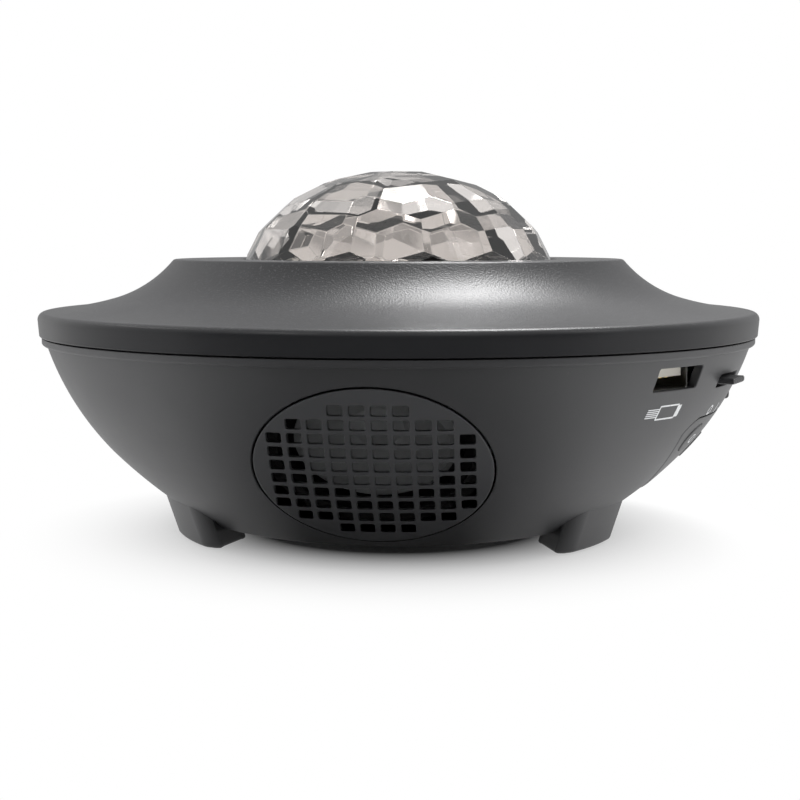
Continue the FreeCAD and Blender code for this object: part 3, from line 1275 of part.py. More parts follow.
def make_main_board():
    """Main board on its standoffs with the radio module and a capacitor."""
    blank = box("main_board_blank", "main_length", "main_width", "main_thick", at(z=MAIN_BOARD_Z))
    holes = []
    screws = []
    top = "%s + main_thick" % MAIN_BOARD_Z
    for corner in range(4):
        holes.append(cylinder("main_board_hole_%d" % corner, "small_pilot + part_gap / 2", "main_thick",
                              standoff_place(corner, MAIN_BOARD_Z)))
        screws.append(small_screw("board_screw_%d" % corner, "main_thick + small_bite", standoff_place(corner, top)))
    named(cut("main_board_drilled", blank, *holes), "main_board")
    named(gathered("board_screw_group", screws), "board_screws")
    named(box("radio_block", "radio_length", "radio_width", "radio_tall",
              at(x="-capacitor_place", z=top)), "radio_module")
    named(cylinder("capacitor_can", "capacitor_radius", "capacitor_tall", at(x="capacitor_place", z=top)),
          "capacitor")


# ---------------------------------------------------------------- assembly

def check_and_write():
    """Stop on any bad shape, then write one STEP file for each sub-part."""
    document.recompute()
    for thing in document.Objects:
        if "Invalid" in thing.State or "Error" in thing.State:
            raise RuntimeError("%s is %s" % (thing.Name, thing.State))
    for thing in sub_parts:
        if thing.Shape.isNull() or not thing.Shape.isValid() or not thing.Shape.Solids:
            raise RuntimeError("%s has no valid solid" % thing.Label)
    os.makedirs("parts", exist_ok=True)
    for thing in sub_parts:
        thing.Shape.exportStep(os.path.join("parts", thing.Label + ".step"))


def main():
    """Build every piece of the projector."""
    make_upper_shell()
    make_lower_shell()
    make_shell_screws()
    make_dome()
    lap_back = bowl_solid("lap_back", "wall + lap_thick")
    behind_wall = bowl_solid("lap_front", "wall + lap_gap")
    skin = cut("insert_skin", bowl_solid("insert_front", "0"), lap_back)
    lining = cut("insert_lap_layer", behind_wall, lap_back)
    make_grille(skin, lining, behind_wall)
    make_speaker()
    make_port_board()
    make_usb()
    make_switch()
    make_jack()
    make_panel(skin, lining, behind_wall)
    make_buttons(bowl_solid("collar_limit", "wall + lap_thick + part_gap"), bowl_solid("cap_limit", "-button_proud"))
    make_button_board()
    make_deck()
    make_lamp()
    make_laser()
    make_disc()
    make_motor()
    make_main_board()
    check_and_write()


main()
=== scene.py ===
"""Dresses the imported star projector: cover, bowl, grille, panel, sockets, dome, feet and their finishes."""
import logging
import math
from dataclasses import dataclass, field
from enum import Enum
from typing import Sequence

import bmesh
import bpy
import numpy as np
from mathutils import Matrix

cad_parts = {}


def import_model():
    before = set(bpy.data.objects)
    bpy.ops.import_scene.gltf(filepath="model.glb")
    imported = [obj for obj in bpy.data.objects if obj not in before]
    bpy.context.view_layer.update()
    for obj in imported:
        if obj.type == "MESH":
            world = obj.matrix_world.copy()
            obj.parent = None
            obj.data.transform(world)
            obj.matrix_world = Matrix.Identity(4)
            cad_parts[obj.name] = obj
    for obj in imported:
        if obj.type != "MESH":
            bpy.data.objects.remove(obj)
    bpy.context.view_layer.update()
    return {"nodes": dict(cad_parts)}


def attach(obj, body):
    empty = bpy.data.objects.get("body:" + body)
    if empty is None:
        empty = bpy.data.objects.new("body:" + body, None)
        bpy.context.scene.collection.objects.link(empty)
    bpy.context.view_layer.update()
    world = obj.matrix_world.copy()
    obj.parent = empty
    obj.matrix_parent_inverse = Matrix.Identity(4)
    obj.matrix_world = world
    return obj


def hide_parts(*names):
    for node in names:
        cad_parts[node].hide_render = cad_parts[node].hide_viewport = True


log = logging.getLogger("star_projector")

MM = 0.001
ROUND = 2 * math.pi
ARC_STEP = 6.0  # degrees of an arc between two samples, at most
SLIVER = 0.002  # share of its size at which a ring that shrinks to its middle stops
HALVINGS = 40  # halvings of an interval that place a point far below a micrometre
Points = np.ndarray
Corner = tuple[float, ...]


# ------------------------------------------------------------------ curves and surfaces

def bent_line(corners: Sequence[Corner], step: float, closed: bool = False) -> Points:
    """Sample a line of straight runs and arcs in a plane.

    A corner is (x, y) or (x, y, radius of the run that leaves it).  A positive radius makes an arc that
    bulges to the right of the way along, a negative one an arc that bulges to the left.

    Args:
        corners: The corners in order.
        step: Longest distance between samples.
        closed: Whether the last corner runs back to the first.

    Returns:
        Samples as an (n, 2) array, without repeats.
    """
    pieces = []
    last = len(corners) if closed else len(corners) - 1
    for index in range(last):
        here = np.array(corners[index][:2], float)
        there = np.array(corners[(index + 1) % len(corners)][:2], float)
        chord = there - here
        length = float(np.hypot(*chord))
        count = max(1, int(math.ceil(length / step)))
        share = np.arange(count)[:, None] / count
        if len(corners[index]) == 2:
            pieces.append(here + chord * share)
            continue
        radius = corners[index][2]
        sense = 1.0 if radius > 0 else -1.0
        right = np.array([chord[1], -chord[0]]) / length
        centre = (here + there) / 2 - right * sense * math.sqrt(max(radius ** 2 - length ** 2 / 4, 0.0))
        sweep = 2 * math.asin(min(1.0, length / 2 / abs(radius))) * sense
        count = max(count, int(math.ceil(abs(sweep) / math.radians(ARC_STEP))))
        turn = sweep * np.arange(count)[:, None] / count
        arm = here - centre
        pieces.append(centre + arm * np.cos(turn) + np.array([-arm[1], arm[0]]) * np.sin(turn))
    if not closed:
        pieces.append(np.array([corners[-1][:2]], float))
    return np.vstack(pieces)


def swung(points: Points, azimuth: float) -> Points:
    """Turn points about Z so that what faces -Y faces an azimuth counted from -Y towards +X, in degrees.

    Args:
        points: Points (..., 3).
        azimuth: Azimuth in degrees.

    Returns:
        The turned points.
    """
    angle = math.radians(azimuth)
    cos, sin = math.cos(angle), math.sin(angle)
    turn = np.array([[cos, -sin, 0], [sin, cos, 0], [0, 0, 1]])
    return points @ turn.T


def spun(profile: Points, segments: int) -> Points:
    """Surface of revolution: a point (r, z) at azimuth a goes to (r sin a, -r cos a, z).

    Args:
        profile: Points (r, z) of the profile.
        segments: Number of points round the axis.

    Returns:
        Array of (segments, points of the profile, 3).
    """
    angle = np.arange(segments) / segments * ROUND
    radius, height = profile[:, 0][None, :], profile[:, 1][None, :]
    x = radius * np.sin(angle)[:, None]
    y = -radius * np.cos(angle)[:, None]
    return np.stack([x, y, np.broadcast_to(height, x.shape)], axis=2)


def grid_faces(rows: int, columns: int, wrap_rows: bool, wrap_columns: bool) -> np.ndarray:
    """Quads of a grid whose rows and columns may close on themselves, as an (n, 4) array.

    Args:
        rows: Number of rows.
        columns: Number of columns.
        wrap_rows: Whether the last row joins the first.
        wrap_columns: Whether the last column joins the first.

    Returns:
        Indices of the corners of every quad.
    """
    i = np.arange(rows if wrap_rows else rows - 1)
    j = np.arange(columns if wrap_columns else columns - 1)
    a, b = np.meshgrid(i, j, indexing="ij")
    a2, b2 = (a + 1) % rows, (b + 1) % columns
    quads = [a * columns + b, a2 * columns + b, a2 * columns + b2, a * columns + b2]
    return np.stack(quads, axis=-1).reshape(-1, 4)


class Draft:
    """Vertices and faces gathered for one mesh, in millimetres."""

    def __init__(self) -> None:
        """Start empty."""
        self.points: list[Points] = []
        self.faces: list[list[int]] = []
        self.count = 0

    def grid(self, points: Points, wrap_rows: bool = False, wrap_columns: bool = False,
             flip: bool = False) -> "Draft":
        """Add a surface given on a grid of points, row by row.

        Args:
            points: Array of (rows, columns, 3).
            wrap_rows: Whether the last row joins the first.
            wrap_columns: Whether the last column joins the first.
            flip: Whether the faces look the other way.

        Returns:
            The draft itself.
        """
        rows, columns = points.shape[:2]
        quads = grid_faces(rows, columns, wrap_rows, wrap_columns) + self.count
        self.faces += (quads[:, ::-1] if flip else quads).tolist()
        self.points.append(points.reshape(-1, 3))
        self.count += rows * columns
        return self

    def tower(self, rings: Points) -> "Draft":
        """Add a surface through a stack of closed rings and close both its ends."""
        return self.grid(rings, wrap_columns=True).cap(rings[0], flip=True).cap(rings[-1])

    def cap(self, ring: Points, flip: bool = False) -> "Draft":
        """Close a ring of points with one face.

        Args:
            ring: Points of the ring, in order.
            flip: Whether the face looks the other way.

        Returns:
            The draft itself.
        """
        order = list(range(self.count, self.count + len(ring)))
        self.faces.append(order[::-1] if flip else order)
        self.points.append(ring)
        self.count += len(ring)
        return self

    def mesh(self, name: str, merge: float = 1e-4) -> bpy.types.Mesh:
        """Make the mesh in metres, with doubles merged, poles collapsed and faces turned outwards.

        Args:
            name: Name of the mesh.
            merge: Distance within which points become one.

        Returns:
            The mesh.
        """
        mesh = bpy.data.meshes.new(name)
        mesh.from_pydata((np.vstack(self.points) * MM).tolist(), [], self.faces)
        shape = bmesh.new()
        shape.from_mesh(mesh)
        bmesh.ops.remove_doubles(shape, verts=shape.verts, dist=merge * MM)
        bmesh.ops.dissolve_degenerate(shape, edges=shape.edges, dist=merge * MM)
        bmesh.ops.recalc_face_normals(shape, faces=shape.faces)
        closed = all(len(edge.link_faces) == 2 for edge in shape.edges)
        if closed and shape.calc_volume(signed=True) < 0:
            bmesh.ops.reverse_faces(shape, faces=shape.faces)
        shape.to_mesh(mesh)
        shape.free()
        return mesh


def stand(mesh: bpy.types.Mesh, material: bpy.types.Material, sharp: float = 35.0) -> bpy.types.Object:
    """Put a mesh into the scene as a piece, smooth but for edges sharper than an angle in degrees.

    Args:
        mesh: Mesh of the piece.
        material: Finish of the piece.
        sharp: Angle above which an edge stays sharp.

    Returns:
        The piece.
    """
    piece = bpy.data.objects.new(mesh.name, mesh)
    bpy.context.scene.collection.objects.link(piece)
    mesh.materials.clear()
    mesh.materials.append(material)
    mesh.shade_smooth()
    mesh.set_sharp_from_angle(angle=math.radians(sharp))
    return piece


class Boolean(Enum):
    """Ways to combine two closed meshes."""

    AWAY = "DIFFERENCE"
    TOGETHER = "UNION"


def combined(first: bpy.types.Mesh, second: bpy.types.Mesh, how: Boolean, name: str) -> bpy.types.Mesh:
    """Combine two closed meshes into a mesh of its own.

    Args:
        first: Mesh that is worked on.
        second: Mesh that is taken away from the first or joined to it.
        how: Which of the two is done.
        name: Name of the result.

    Returns:
        The result.
    """
    things = [bpy.data.objects.new(name + "_part", mesh) for mesh in (first, second)]
    for thing in things:
        bpy.context.scene.collection.objects.link(thing)
    modifier = things[0].modifiers.new("combine", "BOOLEAN")
    modifier.operation = how.value
    modifier.solver = "EXACT"
    modifier.object = things[1]
    graph = bpy.context.evaluated_depsgraph_get()
    result = bpy.data.meshes.new_from_object(things[0].evaluated_get(graph))
    result.name = name
    for thing in things:
        bpy.data.objects.remove(thing)
    return result


def opened(mesh: bpy.types.Mesh, cutters: Sequence[bpy.types.Mesh], name: str) -> bpy.types.Mesh:
    """Cut closed shapes, gathered in one mesh, out of another.

    Args:
        mesh: Mesh that is cut.
        cutters: Closed shapes to cut with.
        name: Name of the result.

    Returns:
        The result, a mesh of its own.
    """
    tools = bpy.data.meshes.new(name + "_tools")
    gathered = bmesh.new()
    for cutter in cutters:
        gathered.from_mesh(cutter)
    gathered.to_mesh(tools)
    gathered.free()
    return combined(mesh, tools, Boolean.AWAY, name)


# ------------------------------------------------------------------ the bowl's own surface

@dataclass
class BowlForm:
    """Outside of the bowl: two arcs, a rounded edge and a flat base, with its lip under the rim."""

    radius: float = 81.1
    height: float = 44.2
    lean: float = 17.7
    curve: float = 63.6
    bilge_lean: float = 42.5
    bilge_curve: float = 111.5
    base_radius: float = 47.4
    base_height: float = 4.0
    base_edge: float = 1.5
    base_slope: float = 35.2
    farthest: float = 120.0

    def bilge(self) -> tuple[float, float]:
        """Place where the two arcs meet.

        Returns:
            Radius and height.
        """
        low, high = math.radians(self.bilge_lean), math.radians(self.lean)
        return (self.radius - self.curve * (math.cos(high) - math.cos(low)),
                self.height - self.curve * (math.sin(low) - math.sin(high)))

    def corners(self, inset: float = 0.0) -> list[Corner]:
        """Corners from the top of the bowl to the flat of the base, set in by a distance.

        Args:
            inset: Distance inwards, square to the outside.

        Returns:
            Corners (radius, height) with the radius of the arc that follows or of the rounding, if any.
        """
        high, mid, low = (math.radians(v) for v in (self.lean, self.bilge_lean, self.base_slope))
        bilge_r, bilge_z = self.bilge()
        return [
            (self.radius - inset * math.cos(high), self.height + inset * math.sin(high),
             -(self.curve - inset)),
            (bilge_r - inset * math.cos(mid), bilge_z + inset * math.sin(mid), -(self.bilge_curve - inset)),
            (self.base_radius + self.base_edge * math.cos(low) - inset * math.sin(low),
             self.base_height + self.base_edge * math.sin(low) + inset * math.cos(low),
             -(self.base_edge / math.tan(low / 2) - inset)),
            (self.base_radius - self.base_edge, self.base_height + inset),
        ]

    def centres(self) -> tuple[Points, Points]:
        """Centres of the upper and of the lower arc, each as (radius, height).

        Returns:
            The two centres.
        """
        high, mid = math.radians(self.lean), math.radians(self.bilge_lean)
        bilge_r, bilge_z = self.bilge()
        upper = [self.radius - self.curve * math.cos(high), self.height + self.curve * math.sin(high)]
        lower = [bilge_r - self.bilge_curve * math.cos(mid), bilge_z + self.bilge_curve * math.sin(mid)]
        return np.array(upper), np.array(lower)

    def radius_at(self, height: Points) -> Points:
        """Radius of the outside at a height.

        It is the radius of the arc's centre plus the root of (arc radius squared less rise squared).

        Args:
            height: Heights.

        Returns:
            Radii.
        """
        (upper_r, upper_z), (lower_r, lower_z) = self.centres()
        upper = upper_r + np.sqrt(np.maximum(self.curve ** 2 - (upper_z - height) ** 2, 0))
        lower = lower_r + np.sqrt(np.maximum(self.bilge_curve ** 2 - (lower_z - height) ** 2, 0))
        return np.where(height >= self.bilge()[1], upper, lower)

    def height_at(self, radius: Points) -> Points:
        """Height of the outside above a radius, read from the sampled outline."""
        line = bent_line(self.corners(), 0.5)[::-1]
        return np.interp(radius, line[:, 0], line[:, 1])

    def landed(self, points: Points, direction: Points, proud: float | Points = 0.0) -> Points:
        """Slide points along a direction until they meet the outside, by halving the interval.

        Args:
            points: Array (..., 3) of starting points inside the bowl.
            direction: Unit vector that points outwards.
            proud: How far to go on past the outside; negative stays under it.

        Returns:
            The points on the outside, moved on by proud.
        """
        low = np.zeros(points.shape[:-1])
        high = np.full(points.shape[:-1], self.farthest)
        for _ in range(HALVINGS):
            middle = (low + high) / 2
            spot = points + middle[..., None] * direction
            inside = np.hypot(spot[..., 0], spot[..., 1]) < self.radius_at(spot[..., 2])
            low = np.where(inside, middle, low)
            high = np.where(inside, high, middle)
        return points + ((low + high) / 2 + proud)[..., None] * direction


@dataclass
class Window:
    """Closed outline seen square to a direction, for what is let into the bowl's wall.

    A point (u, v) of the outline lies u across and v up from the window's middle; +v leans with the window.
    """

    azimuth: float
    height: float
    outline: Points
    tilt: float = 0.0
    across: float = 0.0
    start: float = 20.0
    over: float = 1.0

    def axes(self) -> tuple[Points, Points, Points]:
        """Unit vectors across, up and outwards.

        Returns:
            The three vectors.
        """
        lean = math.radians(self.tilt)
        cos, sin = math.cos(lean), math.sin(lean)
        across, up, out = swung(np.array([[1.0, 0, 0], [0, -sin, cos], [0, -cos, -sin]]), self.azimuth)
        return across, up, out

    def plane(self, outline: Points) -> Points:
        """Points of an outline on a plane inside the bowl, square to the window.

        Args:
            outline: Points (..., 2), across and up.

        Returns:
            Points (..., 3).
        """
        across, up, out = self.axes()
        middle = np.array([0, 0, self.height])
        spot = middle + (outline[..., :1] + self.across) * across + outline[..., 1:2] * up
        return spot + out * self.start

    def offset(self, distance: float) -> Points:
        """The outline moved outwards by a distance along its own normals."""
        return self.outline + distance * sideways(self.outline)

    def plug(self, form: BowlForm, gap: float, rounding: float, depth: float, name: str) -> bpy.types.Mesh:
        """Closed shape that cuts the window out of the wall and rounds the edge that it leaves.

        Each ring is the outline moved out by gap plus rounding times (1 - sin t), at a depth of rounding
        times (1 - cos t) under the outside, for t from 0 to a right angle; the ends go on past the wall and
        shrink to the middle along the bowl's own curve.

        Args:
            form: The bowl.
            gap: Clearance round the outline.
            rounding: Radius of the rounded edge.
            depth: How far under the outside the shape goes on.
            name: Name of the mesh.

        Returns:
            The mesh.
        """
        flare, halfway = 1.05, 0.6
        turn = np.linspace(0, math.pi / 2, 5)
        spread = [gap + rounding * flare, *(gap + rounding * (1 - np.sin(turn))), gap, gap]
        sunk = [-self.over, *(rounding * (1 - np.cos(turn))), depth * halfway, depth]
        out = self.axes()[2]
        middle = self.outline.mean(axis=0)
        shares = np.linspace(SLIVER, 1, 9)[:-1]
        ends = [(middle + (self.offset(spread[0]) - middle) * share, sunk[0]) for share in shares]
        ends += [(self.offset(e), d) for e, d in zip(spread, sunk)]
        ends += [(middle + (self.offset(gap) - middle) * share, depth) for share in shares[::-1]]
        rings = np.stack([form.landed(self.plane(ring), out, -d) for ring, d in ends])
        return Draft().tower(rings).mesh(name)

    def inlay(self, form: BowlForm, rounding: float, thick: float, rings: int, name: str,
              proud: float = 0.0) -> bpy.types.Mesh:
        """Closed plate that fills the window, follows the bowl and has a rounded edge.

        Rings grow from the outline's middle on the front, run over the rounding to the side, and shrink
        again at a depth on the back.

        Args:
            form: The bowl.
            rounding: Radius of the rounded edge.
            thick: Thickness of the plate.
            rings: Number of rings on the front.
            name: Name of the mesh.
            proud: How far the front stands outside the bowl.

        Returns:
            The mesh.
        """
        out = self.axes()[2]
        middle = self.outline.mean(axis=0)
        front = middle + (self.offset(-rounding) - middle) * np.linspace(SLIVER, 1, rings)[:, None, None]
        turn = np.linspace(0, math.pi / 2, 6)[1:]
        edge = np.stack([self.offset(-rounding * (1 - math.sin(t))) for t in turn])
        sunk = rounding * (1 - np.cos(turn))
        back = middle + (self.outline - middle) * np.linspace(1, SLIVER, 8)[:, None, None]
        grid = np.vstack([
            form.landed(self.plane(front), out, proud),
            np.stack([form.landed(self.plane(ring), out, proud - d) for ring, d in zip(edge, sunk)]),
            form.landed(self.plane(back), out, -thick),
        ])
        return Draft().tower(grid).mesh(name)


def sideways(path: Points, closed: bool = True) -> Points:
    """Unit normals of a path: its tangents turned a quarter clockwise, outwards on an anticlockwise path.

    Args:
        path: Points (n, 2).
        closed: Whether the path closes on itself.

    Returns:
        Vectors (n, 2).
    """
    tangent = np.roll(path, -1, axis=0) - np.roll(path, 1, axis=0) if closed else np.gradient(path, axis=0)
    tangent /= np.linalg.norm(tangent, axis=1)[:, None]
    return np.stack([tangent[:, 1], -tangent[:, 0]], axis=1)


def upright(outline: Points, distance: float | Points, level: float) -> Points:
    """Outline (u, v) stood up square to -Y at a distance from the axis, with v counted from a level."""
    return np.stack([outline[:, 0], np.full(len(outline), -distance), level + outline[:, 1]], axis=1)


def ellipse(half_width: float, half_height: float, count: int) -> Points:
    """Points of an ellipse, anticlockwise seen from outside."""
    turn = np.arange(count) / count * ROUND
    return np.stack([half_width * np.cos(turn), half_height * np.sin(turn)], axis=1)


def rounded_box(width: float, height: float, corner: float, step: float) -> Points:
    """Rectangle with round corners, anticlockwise, sampled evenly.

    Args:
        width: Width.
        height: Height.
        corner: Radius of the corners.
        step: Largest distance between two points.

    Returns:
        Points (n, 2).
    """
    w, h, c = width / 2, height / 2, corner
    corners = [(w, h - c, c), (w - c, h), (-w + c, h, c), (-w, h - c), (-w, -h + c, c), (-w + c, -h),
               (w - c, -h, c), (w, -h + c)]
    return bent_line(corners, step, closed=True)


# ------------------------------------------------------------------ finishes

class Group(Enum):
    """Node groups that more than one finish uses."""

    # The grain group also puts out a mask of painted glints on the grain's tips.
    GRAIN = "moulded_grain"
    HANDLING = "handling_marks"
    BRUSH = "drawn_lines"


class Recipe:
    """Short calls for adding and joining nodes in one node tree."""

    def __init__(self, tree: bpy.types.NodeTree) -> None:
        """Work in a tree."""
        self.tree = tree

    def node(self, kind: str, **values: object) -> bpy.types.Node:
        """Add a node and set its attributes.

        Args:
            kind: Type of the node.
            values: Its attributes.

        Returns:
            The node.
        """
        made = self.tree.nodes.new(kind)
        for key, value in values.items():
            setattr(made, key, value)
        return made

    def put(self, socket: bpy.types.NodeSocket, value: object) -> None:
        """Join another node's socket to an input, or set the input to a plain value.

        Args:
            socket: The input.
            value: Another node's socket, or a plain value.
        """
        if isinstance(value, bpy.types.NodeSocket):
            self.tree.links.new(value, socket)
        else:
            socket.default_value = value

    def fill(self, node: bpy.types.Node, **values: object) -> bpy.types.Node:
        """Set input sockets by name, with spaces for underscores.

        Args:
            node: The node.
            values: Sockets or plain values, by the names of the inputs.

        Returns:
            The node.
        """
        for key, value in values.items():
            self.put(node.inputs[key.replace("_", " ")], value)
        return node

    def maths(self, operation: str, first: object, second: object = 0.0,
              third: object = 0.0) -> bpy.types.NodeSocket:
        """Result of a maths node on numbers or sockets.

        Args:
            operation: What the node does.
            first: First number or socket.
            second: Second number or socket.
            third: Third number or socket.

        Returns:
            The result.
        """
        made = self.node("ShaderNodeMath", operation=operation)
        for socket, value in zip(made.inputs, (first, second, third)):
            self.put(socket, value)
        return made.outputs[0]

    def spread(self, value: bpy.types.NodeSocket, low: float, high: float, to_low: float = 0.0,
               to_high: float = 1.0) -> bpy.types.NodeSocket:
        """Map a range of a value onto another, clamped.

        Args:
            value: The value.
            low: Start of its range.
            high: End of its range.
            to_low: What the start becomes.
            to_high: What the end becomes.

        Returns:
            The mapped value.
        """
        made = self.node("ShaderNodeMapRange")
        self.fill(made, Value=value, From_Min=low, From_Max=high, To_Min=to_low, To_Max=to_high)
        return made.outputs[0]

    def mixed(self, share: object, first: object, second: object) -> bpy.types.NodeSocket:
        """Colour between two colours; the node takes colours at its sockets 6 and 7.

        Args:
            share: Share of the second colour.
            first: First colour or socket.
            second: Second colour or socket.

        Returns:
            The mixed colour.
        """
        made = self.node("ShaderNodeMix", data_type="RGBA")
        for index, value in ((0, share), (6, first), (7, second)):
            self.put(made.inputs[index], value)
        return made.outputs[2]

    def noise(self, scale: object, detail: float = 2.0, rough: float = 0.5,
              vector: bpy.types.NodeSocket | None = None) -> bpy.types.NodeSocket:
        """Value of a noise on object coordinates, or on another vector.

        Args:
            scale: Frequency, per metre.
            detail: Number of finer layers.
            rough: Strength of the finer layers.
            vector: Other coordinates than those of the object.

        Returns:
            The value, between 0 and 1.
        """
        made = self.node("ShaderNodeTexNoise")
        self.fill(made, Vector=self.place() if vector is None else vector, Scale=scale, Detail=detail,
                  Roughness=rough)
        return made.outputs["Fac"]

    def cells(self, scale: float, **values: object) -> bpy.types.NodeSocket:
        """Distance to the nearest of many scattered points, on object coordinates."""
        made = self.node("ShaderNodeTexVoronoi", feature="F1", **values)
        return self.fill(made, Vector=self.place(), Scale=scale).outputs["Distance"]

    def bumped(self, height: object, depth: float, strength: float = 1.0) -> bpy.types.NodeSocket:
        """Normal of a bump with a depth in metres."""
        made = self.node("ShaderNodeBump")
        return self.fill(made, Height=height, Distance=depth, Strength=strength).outputs[0]

    def along(self, axis: str) -> bpy.types.NodeSocket:
        """One of the object coordinates."""
        made = self.node("ShaderNodeSeparateXYZ")
        return self.fill(made, Vector=self.place()).outputs[axis]

    def place(self) -> bpy.types.NodeSocket:
        """Object coordinates."""
        return self.node("ShaderNodeTexCoord").outputs["Object"]


def group_sockets(tree: bpy.types.NodeTree, inputs: dict[str, float],
                  outputs: Sequence[str]) -> tuple[bpy.types.Node, bpy.types.Node]:
    """Give a group its named number sockets and return its input and output nodes.

    Args:
        tree: Node tree of the group.
        inputs: Names and first values of the inputs.
        outputs: Names of the outputs.

    Returns:
        The input and the output node.
    """
    for name, value in inputs.items():
        socket = tree.interface.new_socket(name=name, in_out="INPUT", socket_type="NodeSocketFloat")
        socket.default_value = value
    for name in outputs:
        tree.interface.new_socket(name=name, in_out="OUTPUT", socket_type="NodeSocketFloat")
    return tree.nodes.new("NodeGroupInput"), tree.nodes.new("NodeGroupOutput")


def build_grain() -> None:
    """Spark-eroded mould grain: fine pits with a slow drift of tone over them.

    Height is a fine noise plus a share of a finer one; Tone is a slow noise; the third output is a mask of
    painted glints, the tips of the fine noise above a threshold.
    """
    finer_by, finer_share, glint_edge, drift = 2.3, 0.35, 0.08, 35.0
    tree = bpy.data.node_groups.new(Group.GRAIN.value, "ShaderNodeTree")
    enter, leave = group_sockets(tree, {"Size": 900.0, "Speck Share": 0.62}, ("Height", "Tone", "Speck"))
    r = Recipe(tree)
    fine = r.noise(enter.outputs["Size"], 1.0, 0.6)
    finer = r.noise(r.maths("MULTIPLY", enter.outputs["Size"], finer_by), 0.0)
    height = r.maths("MULTIPLY_ADD", finer, finer_share, fine)
    # Mask of painted glints: the tips of the fine noise.
    glint_mask = r.node("ShaderNodeMapRange")
    r.fill(glint_mask, Value=fine, From_Min=enter.outputs["Speck Share"],
           From_Max=r.maths("ADD", enter.outputs["Speck Share"], glint_edge))
    slow = r.noise(drift, 3.0)
    for socket, value in zip(leave.inputs, (height, slow, glint_mask.outputs[0])):
        tree.links.new(value, socket)


def build_handling() -> None:
    """Marks of handling: soft cloudy smears and a few fine dust specks, both as masks."""
    cloud_size, cloud_edges = 60.0, (0.48, 0.72)
    dust_size, dust_edges, drift_size, drift_edges = 260.0, (0.06, 0.03), 90.0, (0.6, 0.66)
    tree = bpy.data.node_groups.new(Group.HANDLING.value, "ShaderNodeTree")
    enter, leave = group_sockets(tree, {"Amount": 0.5}, ("Smear", "Dust"))
    r = Recipe(tree)
    cloud = r.spread(r.noise(cloud_size, 4.0, 0.65), *cloud_edges)
    smear = r.maths("MULTIPLY", cloud, enter.outputs["Amount"])
    specks = r.spread(r.cells(dust_size), *dust_edges)
    dust = r.maths("MULTIPLY", specks, r.spread(r.noise(drift_size), *drift_edges))
    tree.links.new(smear, leave.inputs["Smear"])
    tree.links.new(r.maths("MULTIPLY", dust, enter.outputs["Amount"]), leave.inputs["Dust"])


def build_brush() -> None:
    """Drawn or rolled lines in metal: a noise stretched along one axis, as a mask and a height."""
    tree = bpy.data.node_groups.new(Group.BRUSH.value, "ShaderNodeTree")
    enter, leave = group_sockets(tree, {"Size": 1500.0}, ("Line", "Blotch"))
    r = Recipe(tree)
    along, blotch = 0.06, 120.0
    stretch = r.fill(r.node("ShaderNodeMapping"), Vector=r.place(), Scale=(1.0, along, 1.0))
    tree.links.new(r.noise(enter.outputs["Size"], vector=stretch.outputs[0]), leave.inputs["Line"])
    tree.links.new(r.noise(blotch, 3.0), leave.inputs["Blotch"])


def shader_base(name: str) -> tuple[bpy.types.Material, Recipe, bpy.types.Node]:
    """New material with a Principled shader on its output.

    Args:
        name: Name of the material.

    Returns:
        The material, the recipe of its tree and its shader.
    """
    material = bpy.data.materials.new(name)
    material.use_nodes = True
    tree = material.node_tree
    tree.nodes.clear()
    r = Recipe(tree)
    shader = r.node("ShaderNodeBsdfPrincipled")
    end = r.node("ShaderNodeOutputMaterial")
    tree.links.new(shader.outputs[0], end.inputs["Surface"])
    return material, r, shader


def grouped(r: Recipe, group: Group, **values: object) -> bpy.types.Node:
    """Place a shared group in a material with its own values."""
    made = r.node("ShaderNodeGroup", node_tree=bpy.data.node_groups[group.value])
    return r.fill(made, **values)


def scaled(colour: Sequence[float], factor: float, lift: float = 0.0) -> tuple[float, ...]:
    """Colour times a factor plus a lift, at most white, with an alpha of 1."""
    return (*[min(1.0, part * factor + lift) for part in colour], 1.0)


